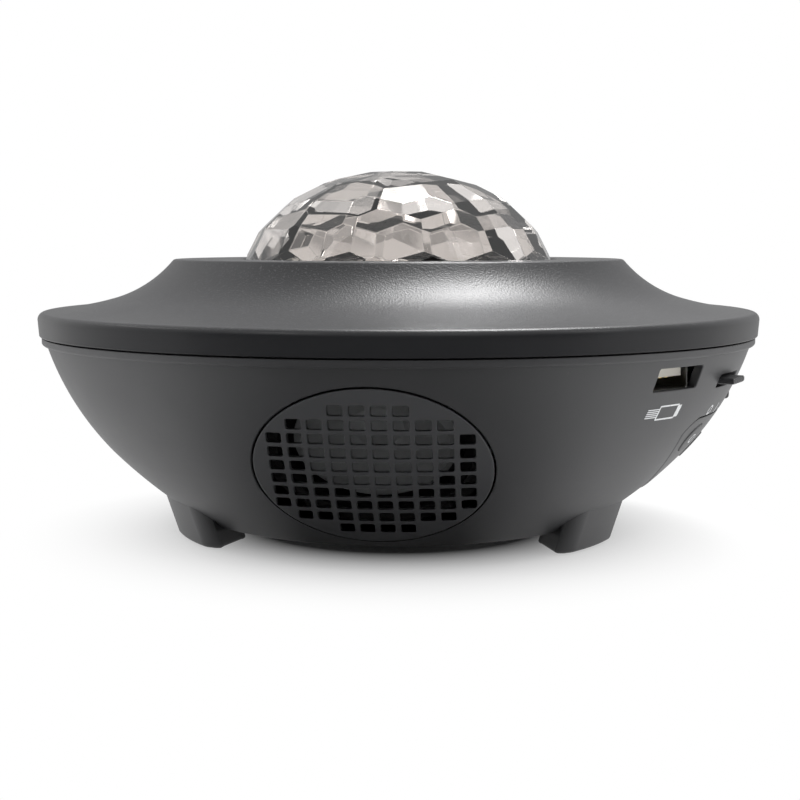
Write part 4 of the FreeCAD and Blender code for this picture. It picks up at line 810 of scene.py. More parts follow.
@dataclass(frozen=True)
class MouldedPlastic:
    """Moulded plastic with a mould grain, painted glints, handling marks and an optional smooth band.

    Attributes:
        name: Material name.
        colour: Base colour.
        rough: Roughness of the clean surface.
        grain: Grain frequency, per metre.
        depth: Grain height in metres.
        painted_glint: How far painted glints at the tips of the grain lighten the colour.
        smooth_below: Height in metres under which the surface is smooth, if any.
        marks: Strength of handling marks.
        specular: Level of the plain shine.
        drift: Factors on the colour where the slow tone is lowest and highest.
        painted_glint_colour: Factor and lift of the colour of the painted glints at the tips of the grain.
        swing: How far the slow tone moves the roughness.
        smooth_edge: How far the smooth band's edge reaches below and above its height.
        band: How much less rough the smooth band is, and what it keeps of the grain.
        dust: Colour of dust.
        dust_share: How far dust covers the colour.
        smear: How far smears raise the roughness.
    """

    name: str
    colour: tuple[float, float, float]
    rough: float = 0.45
    grain: float = 900.0
    depth: float = 2e-5
    painted_glint: float = 0.0
    smooth_below: float | None = None
    marks: float = 0.4
    specular: float = 0.5
    drift: tuple[float, float] = (0.86, 1.12)
    painted_glint_colour: tuple[float, float] = (2.2, 0.05)
    swing: float = 0.08
    smooth_edge: tuple[float, float] = (0.0002, 0.0004)
    band: tuple[float, float] = (0.06, 0.1)
    dust: tuple[float, float, float] = (0.4, 0.39, 0.37)
    dust_share: float = 0.25
    smear: float = 0.07

    def make(self) -> bpy.types.Material:
        """Build the material.

        Returns:
            The material.
        """
        material, r, shader = shader_base(self.name)
        grain = grouped(r, Group.GRAIN, Size=self.grain)
        marks = grouped(r, Group.HANDLING, Amount=self.marks)
        tone = grain.outputs["Tone"]
        colour = r.mixed(tone, scaled(self.colour, self.drift[0]), scaled(self.colour, self.drift[1]))
        # Painted glints: the tips of the grain get a lighter colour.
        glint_mask = r.maths("MULTIPLY", grain.outputs["Speck"], self.painted_glint)
        rough = r.maths("MULTIPLY_ADD", tone, self.swing, self.rough - self.swing / 2)
        height: object = grain.outputs["Height"]
        if self.smooth_below is not None:
            under, over = self.smooth_edge
            calmer, kept = self.band
            mask = r.spread(r.along("Z"), self.smooth_below - under, self.smooth_below + over)
            glint_mask = r.maths("MULTIPLY", glint_mask, mask)
            height = r.maths("MULTIPLY", height, r.maths("MULTIPLY_ADD", mask, 1 - kept, kept))
            rough = r.maths("SUBTRACT", rough, r.maths("MULTIPLY_ADD", mask, -calmer, calmer))
        colour = r.mixed(glint_mask, colour, scaled(self.colour, *self.painted_glint_colour))
        dust = r.maths("MULTIPLY", marks.outputs["Dust"], self.dust_share)
        colour = r.mixed(dust, colour, (*self.dust, 1))
        rough = r.maths("MULTIPLY_ADD", marks.outputs["Smear"], self.smear, rough)
        r.fill(shader, Base_Color=colour, Roughness=rough, Normal=r.bumped(height, self.depth),
               Specular_IOR_Level=self.specular)
        return material


@dataclass(frozen=True)
class ClearPlastic:
    """Clear moulded plastic with faint flow lines and a little haze."""

    name: str
    colour: tuple[float, float, float] = (0.97, 0.97, 0.98)
    rough: float = 0.015
    ior: float = 1.49
    wave: float = 6e-6
    wave_size: float = 90.0
    drift: float = 0.985
    drift_size: float = 40.0
    haze: float = 0.03

    def make(self) -> bpy.types.Material:
        """Build the material.

        Returns:
            The material.
        """
        material, r, shader = shader_base(self.name)
        flow = r.noise(self.wave_size)
        marks = grouped(r, Group.HANDLING, Amount=0.5)
        haze = r.maths("MULTIPLY_ADD", marks.outputs["Smear"], self.haze, self.rough)
        tint = r.mixed(r.noise(self.drift_size), scaled(self.colour, 1.0), scaled(self.colour, self.drift))
        r.fill(shader, Base_Color=tint, Roughness=haze, Normal=r.bumped(flow, self.wave), IOR=self.ior,
               Transmission_Weight=1.0, Metallic=0.0)
        return material


@dataclass(frozen=True)
class Metal:
    """Sheet, drawn or turned metal with fine lines and tarnish."""

    name: str
    colour: tuple[float, float, float]
    rough: float = 0.28
    lines: float = 1500.0
    depth: float = 4e-6
    dull: float = 0.72
    dull_edges: tuple[float, float] = (0.35, 0.75)
    swing: float = 0.16
    smear: float = 0.12

    def make(self) -> bpy.types.Material:
        """Build the material.

        Returns:
            The material.
        """
        material, r, shader = shader_base(self.name)
        brush = grouped(r, Group.BRUSH, Size=self.lines)
        marks = grouped(r, Group.HANDLING, Amount=0.6)
        line = brush.outputs["Line"]
        tarnish = r.spread(brush.outputs["Blotch"], *self.dull_edges)
        colour = r.mixed(tarnish, scaled(self.colour, 1.0), scaled(self.colour, self.dull))
        rough = r.maths("MULTIPLY_ADD", line, self.swing, self.rough - self.swing / 2)
        rough = r.maths("MULTIPLY_ADD", marks.outputs["Smear"], self.smear, rough)
        r.fill(shader, Base_Color=colour, Roughness=rough, Metallic=1.0,
               Normal=r.bumped(line, self.depth, 0.6))
        return material


@dataclass(frozen=True)
class CircuitBoard:
    """Board under its lacquer, with the copper tracks showing as a slightly lighter pattern."""

    name: str
    colour: tuple[float, float, float] = (0.012, 0.09, 0.04)
    rough: float = 0.27
    pads: float = 420.0
    track_edge: tuple[float, float] = (0.34, 0.4)
    track_light: float = 2.1
    track_depth: float = 3e-5

    def make(self) -> bpy.types.Material:
        """Build the material.

        Returns:
            The material.
        """
        material, r, shader = shader_base(self.name)
        track = r.spread(r.cells(self.pads, distance="CHEBYCHEV"), *self.track_edge)
        colour = r.mixed(track, scaled(self.colour, 1.0), scaled(self.colour, self.track_light))
        r.fill(shader, Base_Color=colour, Normal=r.bumped(track, self.track_depth, 0.5),
               Roughness=r.maths("MULTIPLY_ADD", r.noise(300.0), 0.1, self.rough))
        return material


@dataclass(frozen=True)
class PrintInk:
    """Pad-printed ink, a little uneven and worn."""

    name: str
    colour: tuple[float, float, float] = (0.74, 0.75, 0.76)
    under: tuple[float, float, float] = (0.1, 0.1, 0.105)
    rough: float = 0.5
    wear_size: float = 1800.0
    wear_edges: tuple[float, float] = (0.63, 0.74)

    def make(self) -> bpy.types.Material:
        """Build the material.

        Returns:
            The material.
        """
        material, r, shader = shader_base(self.name)
        worn = r.spread(r.noise(self.wear_size, 3.0), *self.wear_edges)
        r.fill(shader, Base_Color=r.mixed(worn, (*self.colour, 1), (*self.under, 1)),
               Roughness=r.maths("MULTIPLY_ADD", r.noise(500.0), 0.15, self.rough))
        return material


@dataclass
class Finishes:
    """All the finishes of the projector, built once."""

    made: dict[str, bpy.types.Material] = field(default_factory=dict)

    def __post_init__(self) -> None:
        """Build the shared groups and then every finish."""
        build_grain()
        build_handling()
        build_brush()
        black = (0.02, 0.0205, 0.022)
        recipes = (
            # The cover has painted glints: the tips of its grain are lighter in colour.
            MouldedPlastic("cover_plastic", (0.02, 0.0203, 0.0222), rough=0.38, grain=2400.0, depth=5e-5,
                           painted_glint=0.5, smooth_below=0.0508, marks=0.25, specular=0.26),
            MouldedPlastic("bowl_plastic", (0.034, 0.0346, 0.0375), rough=0.48, grain=2000.0, depth=1e-5,
                           marks=0.3, specular=1.0),
            MouldedPlastic("grille_plastic", (0.05, 0.0508, 0.054), rough=0.46, grain=2000.0, depth=1e-5,
                           marks=0.2),
            MouldedPlastic("panel_plastic", (0.03, 0.0305, 0.033), rough=0.46, grain=2000.0, depth=8e-6,
                           marks=0.3, specular=0.9),
            MouldedPlastic("button_plastic", (0.028, 0.0285, 0.031), rough=0.46, grain=1800.0, depth=1e-5,
                           specular=0.85),
            MouldedPlastic("inner_plastic", black, rough=0.5, grain=700.0, depth=1.5e-5),
            MouldedPlastic("white_plastic", (0.8, 0.8, 0.78), rough=0.45, grain=700.0, depth=1e-5),
            MouldedPlastic("frame_paint", (0.01, 0.01, 0.011), rough=0.55, grain=1200.0, depth=1e-5),
            MouldedPlastic("tongue_plastic", (0.72, 0.69, 0.62), rough=0.35, grain=900.0, depth=4e-6),
            MouldedPlastic("pad_rubber", (0.02, 0.02, 0.021), rough=0.8, grain=900.0, depth=6e-5),
            MouldedPlastic("gasket_foam", (0.03, 0.03, 0.03), rough=0.95, grain=1600.0, depth=2e-4),
            # The cone's grey is lighter than its paper: painted light for the dim inside of the speaker.
            MouldedPlastic("cone_paper", (0.27, 0.275, 0.28), rough=0.7, grain=500.0, depth=1e-4),
            MouldedPlastic("lamp_white", (0.85, 0.8, 0.5), rough=0.4, grain=500.0, depth=1e-5),
            MouldedPlastic("chip_resin", (0.02, 0.02, 0.02), rough=0.6, grain=1200.0, depth=3e-5),
            ClearPlastic("dome_clear", (0.76, 0.725, 0.7)),
            ClearPlastic("lens_clear", ior=1.52),
            ClearPlastic("ripple_clear", wave=3e-4, wave_size=260.0, rough=0.03),
            # The socket's metal is darker than plated steel: painted shade for the inside of the port.
            Metal("socket_metal_painted_shade", (0.3, 0.295, 0.285), rough=0.34),
            Metal("plated_steel", (0.62, 0.62, 0.63)),
            Metal("magnet_metal", (0.4, 0.4, 0.42), rough=0.4),
            Metal("drawn_aluminium", (0.8, 0.8, 0.82), rough=0.35),
            Metal("turned_brass", (0.8, 0.62, 0.3), rough=0.25),
            Metal("contact_gold", (0.9, 0.7, 0.32), rough=0.18),
            CircuitBoard("board_lacquer"),
            PrintInk("print_ink"),
        )
        self.made = {recipe.name: recipe.make() for recipe in recipes}

    def __getitem__(self, name: str) -> bpy.types.Material:
        """A finish by name."""
        return self.made[name]


# ------------------------------------------------------------------ shells

FORM = BowlForm()
FOOT_AZIMUTHS = (60.0, 180.0, 300.0)

# Azimuth in degrees and height of the middle of what is let into the wall.
USB_PLACE = (49.3, 40.1)
SWITCH_PLACE = (67.9, 38.1)
JACK_PLACE = (85.0, 33.8)
PANEL_PLACE = (90.0, 20.0)


def fit_bowl_normals(mesh: bpy.types.Mesh, form: BowlForm) -> None:
    """Give the corners that lie on the bowl's outside the exact normal of its arcs.

    Args:
        mesh: Mesh whose faces partly follow the bowl.
        form: The bowl.
    """
    near, lowest, under_lip, same_way, axis = 0.03, 5.0, 0.05, 0.985, 1e-6
    count = len(mesh.vertices)
    points = np.empty(count * 3)
    mesh.vertices.foreach_get("co", points)
    points = points.reshape(-1, 3) / MM
    radius = np.hypot(points[:, 0], points[:, 1])
    above = points[:, 2] >= form.bilge()[1]
    centre = np.where(above[:, None], *form.centres())
    arm = np.stack([radius, points[:, 2]], axis=1) - centre
    reach = np.hypot(arm[:, 0], arm[:, 1])
    curve = np.where(above, form.curve, form.bilge_curve)
    arm /= reach[:, None]
    radius = np.maximum(radius, axis)
    x, y = (arm[:, 0] * points[:, k] / radius for k in range(2))
    normal = np.stack([x, y, arm[:, 1]], axis=1)
    on_face = (np.abs(reach - curve) < near) & (points[:, 2] > lowest)
    on_face &= points[:, 2] < form.height - under_lip
    loops = np.empty(len(mesh.loops), dtype=np.int32)
    mesh.loops.foreach_get("vertex_index", loops)
    totals = np.empty(len(mesh.polygons), dtype=np.int32)
    mesh.polygons.foreach_get("loop_total", totals)
    facing = np.empty(len(mesh.polygons) * 3)
    mesh.polygons.foreach_get("normal", facing)
    facing = np.repeat(facing.reshape(-1, 3), totals, axis=0)
    chosen = normal[loops]
    fits = on_face[loops] & (np.einsum("ij,ij->i", chosen, facing) > same_way)
    mesh.normals_split_custom_set(np.where(fits[:, None], chosen, 0.0).tolist())


@dataclass
class Cover:
    """Flared cover: flat ring round the dome, concave skirt in two arcs, rounded rim and smooth side."""

    radius: float = 83.0
    opening: float = 37.0
    top: float = 63.2
    bottom: float = 46.2
    edge: float = 0.25
    taper: float = 0.27
    shoulder: float = 1.6
    segments: int = 540

    def outline(self) -> Points:
        """Closed outline of the cover's wall as (radius, height).

        Returns:
            Points (radius, height).
        """
        edge, foot = self.edge, self.radius - self.taper
        corners = [
            (self.opening + edge, self.top), (51.85, self.top, -0.98), (52.593, 62.859, 28.0),
            (65.96, 54.24, 74.0), (self.radius - self.shoulder, 51.5, -self.shoulder), (self.radius, 49.9),
            (foot, self.bottom + edge, -edge), (foot - edge, self.bottom),
            (80.7, self.bottom), (81.0, 49.1), (80.2, 49.5, -76.0), (65.4, 52.32, -30.0), (51.3, 61.2),
            (self.opening, 61.2), (self.opening, self.top - edge, -edge),
        ]
        return bent_line(corners, 1.0, closed=True)

    def build(self, finishes: Finishes) -> bpy.types.Object:
        """Make the cover and let it stand for the CAD cover.

        Args:
            finishes: All the finishes.

        Returns:
            The piece.
        """
        draft = Draft().grid(spun(self.outline(), self.segments), wrap_rows=True, wrap_columns=True)
        piece = stand(draft.mesh("cover"), finishes["cover_plastic"], 40)
        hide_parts("upper_shell")
        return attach(piece, "base")


@dataclass
class Openings:
    """Every window in the bowl's wall, each with its clearance round what fills it."""

    grille: Window = field(default_factory=lambda: Window(0.0, 23.15, ellipse(23.6, 17.2, 240)))
    usb: Window = field(default_factory=lambda: Window(*USB_PLACE, rounded_box(14.8, 4.7, 0.5, 0.6)))
    switch: Window = field(default_factory=lambda: Window(*SWITCH_PLACE, rounded_box(14.0, 2.65, 0.6, 0.6)))
    jack: Window = field(default_factory=lambda: Window(*JACK_PLACE, ellipse(2.55, 2.55, 64)))
    panel: Window = field(default_factory=lambda: Window(*PANEL_PLACE, Openings.panel_outline()))
    buttons: tuple[tuple[float, float], ...] = (
        (-27.5, 25.0), (-14.5, 21.9), (0.0, 20.5), (14.5, 21.9), (27.5, 25.0))
    button_lean: float = 40.5

    @staticmethod
    def panel_outline() -> Points:
        """Circle segment with a flat top and rounded corners, about the height of the panel's window.

        Returns:
            Points (across, up).
        """
        curve, centre, top, corner, middle = 46.3, 56.1, 29.9, 3.0, PANEL_PLACE[1]
        low, bend = top - corner, corner * 1.1
        wide = math.sqrt(curve ** 2 - (centre - low) ** 2)
        corners = [(-wide, low - middle, curve), (wide, low - middle, bend), (wide - corner, top - middle),
                   (corner - wide, top - middle, bend)]
        return bent_line(corners, 0.8, closed=True)

    def button(self, number: int, radius: float) -> Window:
        """Round window of a push button, square to the leaning panel.

        Args:
            number: Number of the button, from 0.
            radius: Radius of the window.

        Returns:
            The window.
        """
        across, height = self.buttons[number]
        reach = math.sqrt(float(FORM.radius_at(np.array(height))) ** 2 - across ** 2)
        height += reach * math.tan(math.radians(self.button_lean))
        ring = ellipse(radius, radius, 72)
        return Window(PANEL_PLACE[0], height, ring, tilt=self.button_lean, across=across)

    def cutters(self) -> list[bpy.types.Mesh]:
        """Shapes that open the wall, with softly rounded edges.

        Returns:
            One closed mesh for each window.
        """
        rows = (  # window, gap round what fills it, radius of its rounded edge, depth and name
            (self.grille, 0.35, 0.35, 6.0, "grille_plug"),
            (self.panel, 0.25, 0.3, 9.0, "panel_plug"),
            (self.usb, 0.0, 0.35, 8.0, "usb_plug"),
            (self.switch, 0.0, 0.35, 8.0, "switch_plug"),
            (self.jack, 0.0, 0.25, 8.0, "jack_plug"),
        )
        return [window.plug(FORM, *sizes) for window, *sizes in rows]


@dataclass
class Bowl:
    """Lower shell: lip, tongue and bowl of even wall, opened for everything that is let into it."""

    wall: float = 2.0
    base: float = 4.0
    segments: int = 540
    recess_azimuths: tuple[float, ...] = (30.0, 150.0, 270.0)
    recess_circle: float = 43.0
    recess_radius: float = 2.8
    recess_top: float = 9.5
    recess_edge: float = 0.35
    boss_foot: float = 5.0
    boss_bore: float = 1.55
    boss_top: float = 16.0
    boss_radius: float = 4.2

    def outline(self) -> Points:
        """Outline of the wall as (radius, height): up inside, over tongue and lip, and down outside.

        Returns:
            Points (radius, height).
        """
        inside = FORM.corners(self.wall)
        corners: list[Corner] = [
            (0.0, self.base + self.wall), (*inside[3][:2], -inside[2][2]), (*inside[2][:2], -inside[1][2]),
            (*inside[1][:2], -inside[0][2]), inside[0][:2],
            (79.1, 48.0), (80.1, 48.0, -0.3), (80.4, 47.7), (80.4, 45.9), (81.95, 45.9, -0.25),
            (82.2, 45.65), (82.2, 44.75, -0.62), (81.6, 44.2),
        ]
        corners += FORM.corners()
        corners.append((0.0, self.base))
        return bent_line(corners, 1.0)

    def recess(self, azimuth: float) -> bpy.types.Mesh:
        """Round hole up into the base for a screw's head.

        Args:
            azimuth: Azimuth in degrees.

        Returns:
            The cutter.
        """
        r, z, edge = self.recess_radius, self.base, self.recess_edge
        line = bent_line([(0, z - 1), (r + edge, z - 1), (r + edge, z), (r, z + edge), (r, self.recess_top),
                          (0, self.recess_top)], 2.0)
        around = spun(line, 48) + np.array([0, -self.recess_circle, 0])
        return Draft().grid(swung(around, azimuth), wrap_rows=True).mesh("recess_plug")

    def bosses(self, finishes: Finishes) -> bpy.types.Object:
        """Thick-walled tubes over the recesses, each with a seat for its screw's head.

        Args:
            finishes: All the finishes.

        Returns:
            The piece.
        """
        draft = Draft()
        corners = [
            (self.recess_radius, self.boss_foot), (self.recess_radius, self.recess_top),
            (self.boss_bore, self.recess_top), (self.boss_bore, self.boss_top),
            (self.boss_radius, self.boss_top), (self.boss_radius, self.boss_foot),
        ]
        for azimuth in self.recess_azimuths:
            around = spun(bent_line(corners, 3.0, closed=True), 48) + np.array([0, -self.recess_circle, 0])
            draft.grid(swung(around, azimuth), wrap_rows=True, wrap_columns=True)
        piece = stand(draft.mesh("screw_bosses"), finishes["inner_plastic"])
        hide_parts("lower_shell")
        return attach(piece, "base")

    def build(self, openings: Openings, finishes: Finishes) -> bpy.types.Object:
        """Make the bowl, cut its openings and let it stand for the CAD lower shell.

        Args:
            openings: Windows in the bowl.
            finishes: All the finishes.

        Returns:
            The piece.
        """
        blank = Draft().grid(spun(self.outline(), self.segments), wrap_rows=True).mesh("bowl_blank")
        cutters = openings.cutters() + [self.recess(azimuth) for azimuth in self.recess_azimuths]
        piece = stand(opened(blank, cutters, "bowl"), finishes["bowl_plastic"], 32)
        fit_bowl_normals(piece.data, FORM)
        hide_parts("lower_shell")
        self.bosses(finishes)
        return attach(piece, "base")


@dataclass
class Foot:
    """Block foot: rounded wedge in plan that leans outwards up to the bowl."""

    azimuth: float
    lean: float = 0.34
    edge: float = 0.8
    bottom: float = 0.4
    sunk: float = 1.0
    tallest: float = 20.0
    halvings: int = 30

    def plan(self) -> Points:
        """Plan of the foot at azimuth 0, wide outside and narrow inside.

        Returns:
            Points (n, 2).
        """
        corners = [
            (-7.7, -51.73, 52.3), (7.7, -51.73, 3.675), (11.2, -48.23), (4.4, -41.0, 1.8), (3.2, -39.8),
            (-3.2, -39.8, 1.8), (-4.4, -41.0), (-11.2, -48.23, 3.675),
        ]
        return bent_line(corners, 0.6, closed=True)

    def build(self, number: int, finishes: Finishes) -> bpy.types.Object:
        """Raise the plan up the lean until it is sunk into the wall, with a rounded edge below.

        Args:
            number: Number of the foot, from 1.
            finishes: All the finishes.

        Returns:
            The piece.
        """
        plan = self.plan()
        inward = -sideways(plan)
        rows = []
        turn = np.linspace(0, math.pi / 2, 7)
        middle = plan.mean(axis=0)
        rise = np.zeros(len(plan))
        for share in (0.03, 0.5):
            ring = middle + (plan + inward * self.edge - middle) * share
            rows.append(self.raised(ring, rise, 0.0))
        for angle in turn:
            rows.append(self.raised(plan + inward * self.edge * (1 - math.sin(angle)), rise,
                                    self.edge * (1 - math.cos(angle))))
        reach = self.reach(plan)
        for share in np.linspace(0, 1, 9)[1:]:
            rows.append(self.raised(plan, (reach - self.edge) * share, self.edge))
        mesh = Draft().tower(np.stack(rows)).mesh(f"foot_{number}")
        piece = stand(mesh, finishes["bowl_plastic"], 40)
        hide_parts("lower_shell")
        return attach(piece, "base")

    def raised(self, ring: Points, rise: Points, above: float) -> Points:
        """Points of a ring moved up the lean and swung to the foot's azimuth.

        Args:
            ring: Points (n, 2) in plan.
            rise: How far each point is moved up.
            above: Height above the underside.

        Returns:
            Points (n, 3).
        """
        height = above + rise
        spot = np.stack([ring[:, 0], ring[:, 1] - self.lean * height, self.bottom + height], axis=1)
        return swung(spot, self.azimuth)

    def reach(self, plan: Points) -> Points:
        """How far up the lean each point of the plan is sunk in the wall, found by halving.

        Args:
            plan: Points (n, 2) in plan.

        Returns:
            Heights above the underside.
        """
        low, high = np.zeros(len(plan)), np.full(len(plan), self.tallest)
        for _ in range(self.halvings):
            middle = (low + high) / 2
            radius = np.hypot(plan[:, 0], plan[:, 1] - self.lean * middle)
            under = self.bottom + middle < FORM.height_at(radius) + self.sunk
            low, high = np.where(under, middle, low), np.where(under, high, middle)
        return low


# ------------------------------------------------------------------ inserts

@dataclass
class Grille:
    """Speaker grille: flush oval plate with rows of softly edged slots."""

    rows: tuple[int, ...] = (4, 8, 10, 10, 10, 10, 10, 10, 8, 4)
    middle: float = 22.8
    pitch_across: float = 4.12
    pitch_down: float = 2.93
    width: float = 3.05
    height: float = 2.1
    corner: float = 0.45
    softened: float = 0.22
    cut_depth: float = 3.4
    edge: float = 0.4
    thick: float = 2.0
    rings: int = 26

    def holes(self) -> list[bpy.types.Mesh]:
        """One cutter for each slot.

        Returns:
            The cutters.
        """
        outline = rounded_box(self.width, self.height, self.corner, 0.5)
        made = []
        for row, count in enumerate(self.rows):
            height = self.middle + self.pitch_down * ((len(self.rows) - 1) / 2 - row)
            for column in range(count):
                across = self.pitch_across * (column - (count - 1) / 2)
                slot = Window(0.0, height, outline, across=across)
                made.append(slot.plug(FORM, 0.0, self.softened, self.cut_depth, "slot_plug"))
        return made

    def build(self, openings: Openings, finishes: Finishes) -> bpy.types.Object:
        """Make the plate, pierce it and let it stand for the CAD grille.

        Args:
            openings: Windows in the bowl.
            finishes: All the finishes.

        Returns:
            The piece.
        """
        plate = openings.grille.inlay(FORM, self.edge, self.thick, self.rings, "grille_blank")
        piece = stand(opened(plate, self.holes(), "grille"), finishes["grille_plastic"], 32)
        fit_bowl_normals(piece.data, FORM)
        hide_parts("speaker_grille")
        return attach(piece, "base")


@dataclass
class ControlPanel:
    """Flush plate at the side with five push buttons."""

    hole: float = 3.88
    cap: float = 3.76
    proud: float = 0.25
    softened: float = 0.12
    cut_depth: float = 4.0
    edge: float = 0.35
    thick: float = 2.0
    rings: int = 26
    cap_edge: float = 0.3
    cap_tall: float = 4.5
    cap_rings: int = 8

    def build(self, openings: Openings, finishes: Finishes) -> bpy.types.Object:
        """Make the plate with its holes, and each button's cap on its own body.

        Args:
            openings: Windows in the bowl.
            finishes: All the finishes.

        Returns:
            The plate.
        """
        plate = openings.panel.inlay(FORM, self.edge, self.thick, self.rings, "panel_blank")
        numbers = range(len(openings.buttons))
        windows = [openings.button(number, self.hole) for number in numbers]
        holes = [window.plug(FORM, 0.0, self.softened, self.cut_depth, "button_plug") for window in windows]
        piece = stand(opened(plate, holes, "panel_plate"), finishes["panel_plastic"], 32)
        fit_bowl_normals(piece.data, FORM)
        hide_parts("control_panel")
        for number in numbers:
            window = openings.button(number, self.cap)
            name = f"button_cap_{number + 1}"
            mesh = window.inlay(FORM, self.cap_edge, self.cap_tall, self.cap_rings, name, self.proud)
            cap = stand(mesh, finishes["button_plastic"], 45)
            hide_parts("button_%d" % (number + 1))
            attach(cap, "push_%d" % (number + 1))
        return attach(piece, "base")


@dataclass
class Sockets:
    """Metal sleeve and contacts of the USB socket, the power socket and the knob of the slide switch."""

    usb_azimuth: float = USB_PLACE[0]
    usb_middle: float = USB_PLACE[1]
    usb_front: float = 76.83
    usb_width: float = 13.2
    usb_tall: float = 5.2
    usb_length: float = 13.5
    sheet: float = 0.3
    switch_azimuth: float = SWITCH_PLACE[0]
    jack_azimuth: float = JACK_PLACE[0]
    jack_middle: float = JACK_PLACE[1]
    jack_radius: float = 2.4
    jack_bore: float = 1.8
    jack_proud: float = 0.1
    jack_round: float = 0.9
    jack_length: float = 13.0
    jack_depth: float = 8.0
    jack_case: tuple[float, float, float] = (6.4, 4.9, 7.4)
    case_gap: float = 0.05
    lip: float = 0.12
    flare: float = 1.006
    contact_places: tuple[float, ...] = (-3.5, -1.0, 1.0, 3.5)
    contact_length: float = 8.5
    contact_half: float = 0.5
    contact_sheet: float = 0.16
    contact_level: float = 40.18
    contact_inset: float = 1.4
    bend: tuple[float, float, float] = (0.28, 2.0, 1.1)
    knob_wide: float = 9.0
    knob_tall: float = 1.3
    knob_front: float = 81.8
    knob_back: float = 7.2
    knob_middle: float = SWITCH_PLACE[1]
    knob_aside: float = 2.0
    knob_round: float = 0.3
    ridge: float = 0.16
    ridge_waves: int = 6

    def jack(self, finishes: Finishes) -> bpy.types.Object:
        """Round sleeve of the power socket with a rounded lip, and the square case behind it.

        Args:
            finishes: All the finishes.

        Returns:
            The piece.
        """
        front = float(FORM.radius_at(np.array([self.jack_middle]))[0]) + self.jack_proud
        back, floor = front - self.jack_length, front - self.jack_depth
        turn = np.radians(np.linspace(0, 90, 8))
        bend = self.jack_round
        lip = np.stack([self.jack_radius - bend + bend * np.cos(turn), front - bend + bend * np.sin(turn)],
                       axis=1)
        lip = lip[lip[:, 0] > self.jack_bore]
        line = np.vstack([[(0, back), (self.jack_radius, back)], lip,
                          [(self.jack_bore, lip[-1, 1]), (self.jack_bore, floor), (0, floor)]])
        sleeve = spun(line, 48)
        sleeve = np.stack([sleeve[..., 0], -sleeve[..., 2], sleeve[..., 1] + self.jack_middle], axis=2)
        draft = Draft().grid(swung(sleeve, self.jack_azimuth), wrap_rows=True)
        wide, tall, deep = self.jack_case
        ring = rounded_box(wide, tall, 0.3, 0.2)
        rows = [upright(ring, back + along, self.jack_middle) for along in (self.case_gap, deep)]
        draft.tower(swung(np.stack(rows), self.jack_azimuth))
        piece = stand(draft.mesh("power_socket"), finishes["inner_plastic"], 40)
        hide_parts("jack_body")
        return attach(piece, "base")

    def tube(self, finishes: Finishes) -> bpy.types.Object:
        """Folded sleeve with round corners and a lip that is turned out a little at its mouth.

        Args:
            finishes: All the finishes.

        Returns:
            The piece.
        """
        outer = rounded_box(self.usb_width, self.usb_tall, 0.7, 0.4)
        inner = rounded_box(self.usb_width - 2 * self.sheet, self.usb_tall - 2 * self.sheet, 0.45, 0.4)
        wanted = np.linspace(0, 1, len(outer), endpoint=False)
        given = np.linspace(0, 1, len(inner) + 1)
        inner = np.stack([np.interp(wanted, given, np.append(part, part[0])) for part in inner.T], axis=1)
        half = (outer + inner) / 2
        rows = [(outer, self.usb_length), (outer, self.lip), (half * self.flare, 0.0), (inner, self.lip),
                (inner, self.usb_length)]
        rings = [upright(ring, self.usb_front - behind, self.usb_middle) for ring, behind in rows]
        grid = swung(np.stack(rings), self.usb_azimuth)
        draft = Draft().grid(grid, wrap_rows=True, wrap_columns=True)
        # Its metal is darkened as painted shade inside the port.
        piece = stand(draft.mesh("usb_sleeve"), finishes["socket_metal_painted_shade"], 40)
        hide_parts("usb_shell")
        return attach(piece, "base")

    def contacts(self, finishes: Finishes) -> bpy.types.Object:
        """Four gold strips under the tongue, bent up at their tips.

        Args:
            finishes: All the finishes.

        Returns:
            The piece.
        """
        draft = Draft()
        samples = 24
        half, sheet = self.contact_half, self.contact_sheet
        high, where, wide = self.bend
        along = np.linspace(0, self.contact_length, samples)
        lift = high * np.exp(-((along - where) / wide) ** 2)
        for across in self.contact_places:
            rows = []
            for side, drop in ((-half, 0.0), (half, 0.0), (half, -sheet), (-half, -sheet)):
                rows.append(np.stack([np.full(samples, across + side),
                                      -(self.usb_front - self.contact_inset - along),
                                      self.contact_level + drop - lift], axis=1))
            grid = swung(np.stack(rows), self.usb_azimuth)
            draft.grid(grid, wrap_rows=True).cap(grid[:, 0], flip=True).cap(grid[:, -1])
        piece = stand(draft.mesh("usb_contacts"), finishes["contact_gold"], 40)
        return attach(piece, "base")

    def knob(self, finishes: Finishes) -> bpy.types.Object:
        """Sliding knob with a rounded front and five fine grip ridges.

        Args:
            finishes: All the finishes.

        Returns:
            The piece.
        """
        wide, tall, inward = self.knob_wide, self.knob_tall, self.knob_round
        outline = rounded_box(wide, tall, 0.35, 0.12)
        rows = []
        for behind, share in ((self.knob_back, 0.0), (inward, 0.0), (0.09, 0.55), (0.0, 1.0)):
            ring = outline * (1 - np.array([inward * 2 * share / wide, inward * 2 * share / tall]))
            ridge = self.ridge * np.maximum(0, np.cos(ring[:, 0] / wide * ROUND * self.ridge_waves))
            ridge *= behind < self.knob_back
            ring = ring - np.array([self.knob_aside, 0])
            rows.append(upright(ring, self.knob_front - self.ridge - behind + ridge, self.knob_middle))
        grid = swung(np.stack(rows), self.switch_azimuth)
        draft = Draft().grid(grid, wrap_columns=True).cap(grid[0])
        half = len(outline) // 2
        draft.grid(np.stack([grid[-1][:half], grid[-1][::-1][:half]]))
        piece = stand(draft.mesh("switch_knob_cap"), finishes["button_plastic"], 40)
        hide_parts("switch_knob")
        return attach(piece, "knob")


# ------------------------------------------------------------------ printed marks

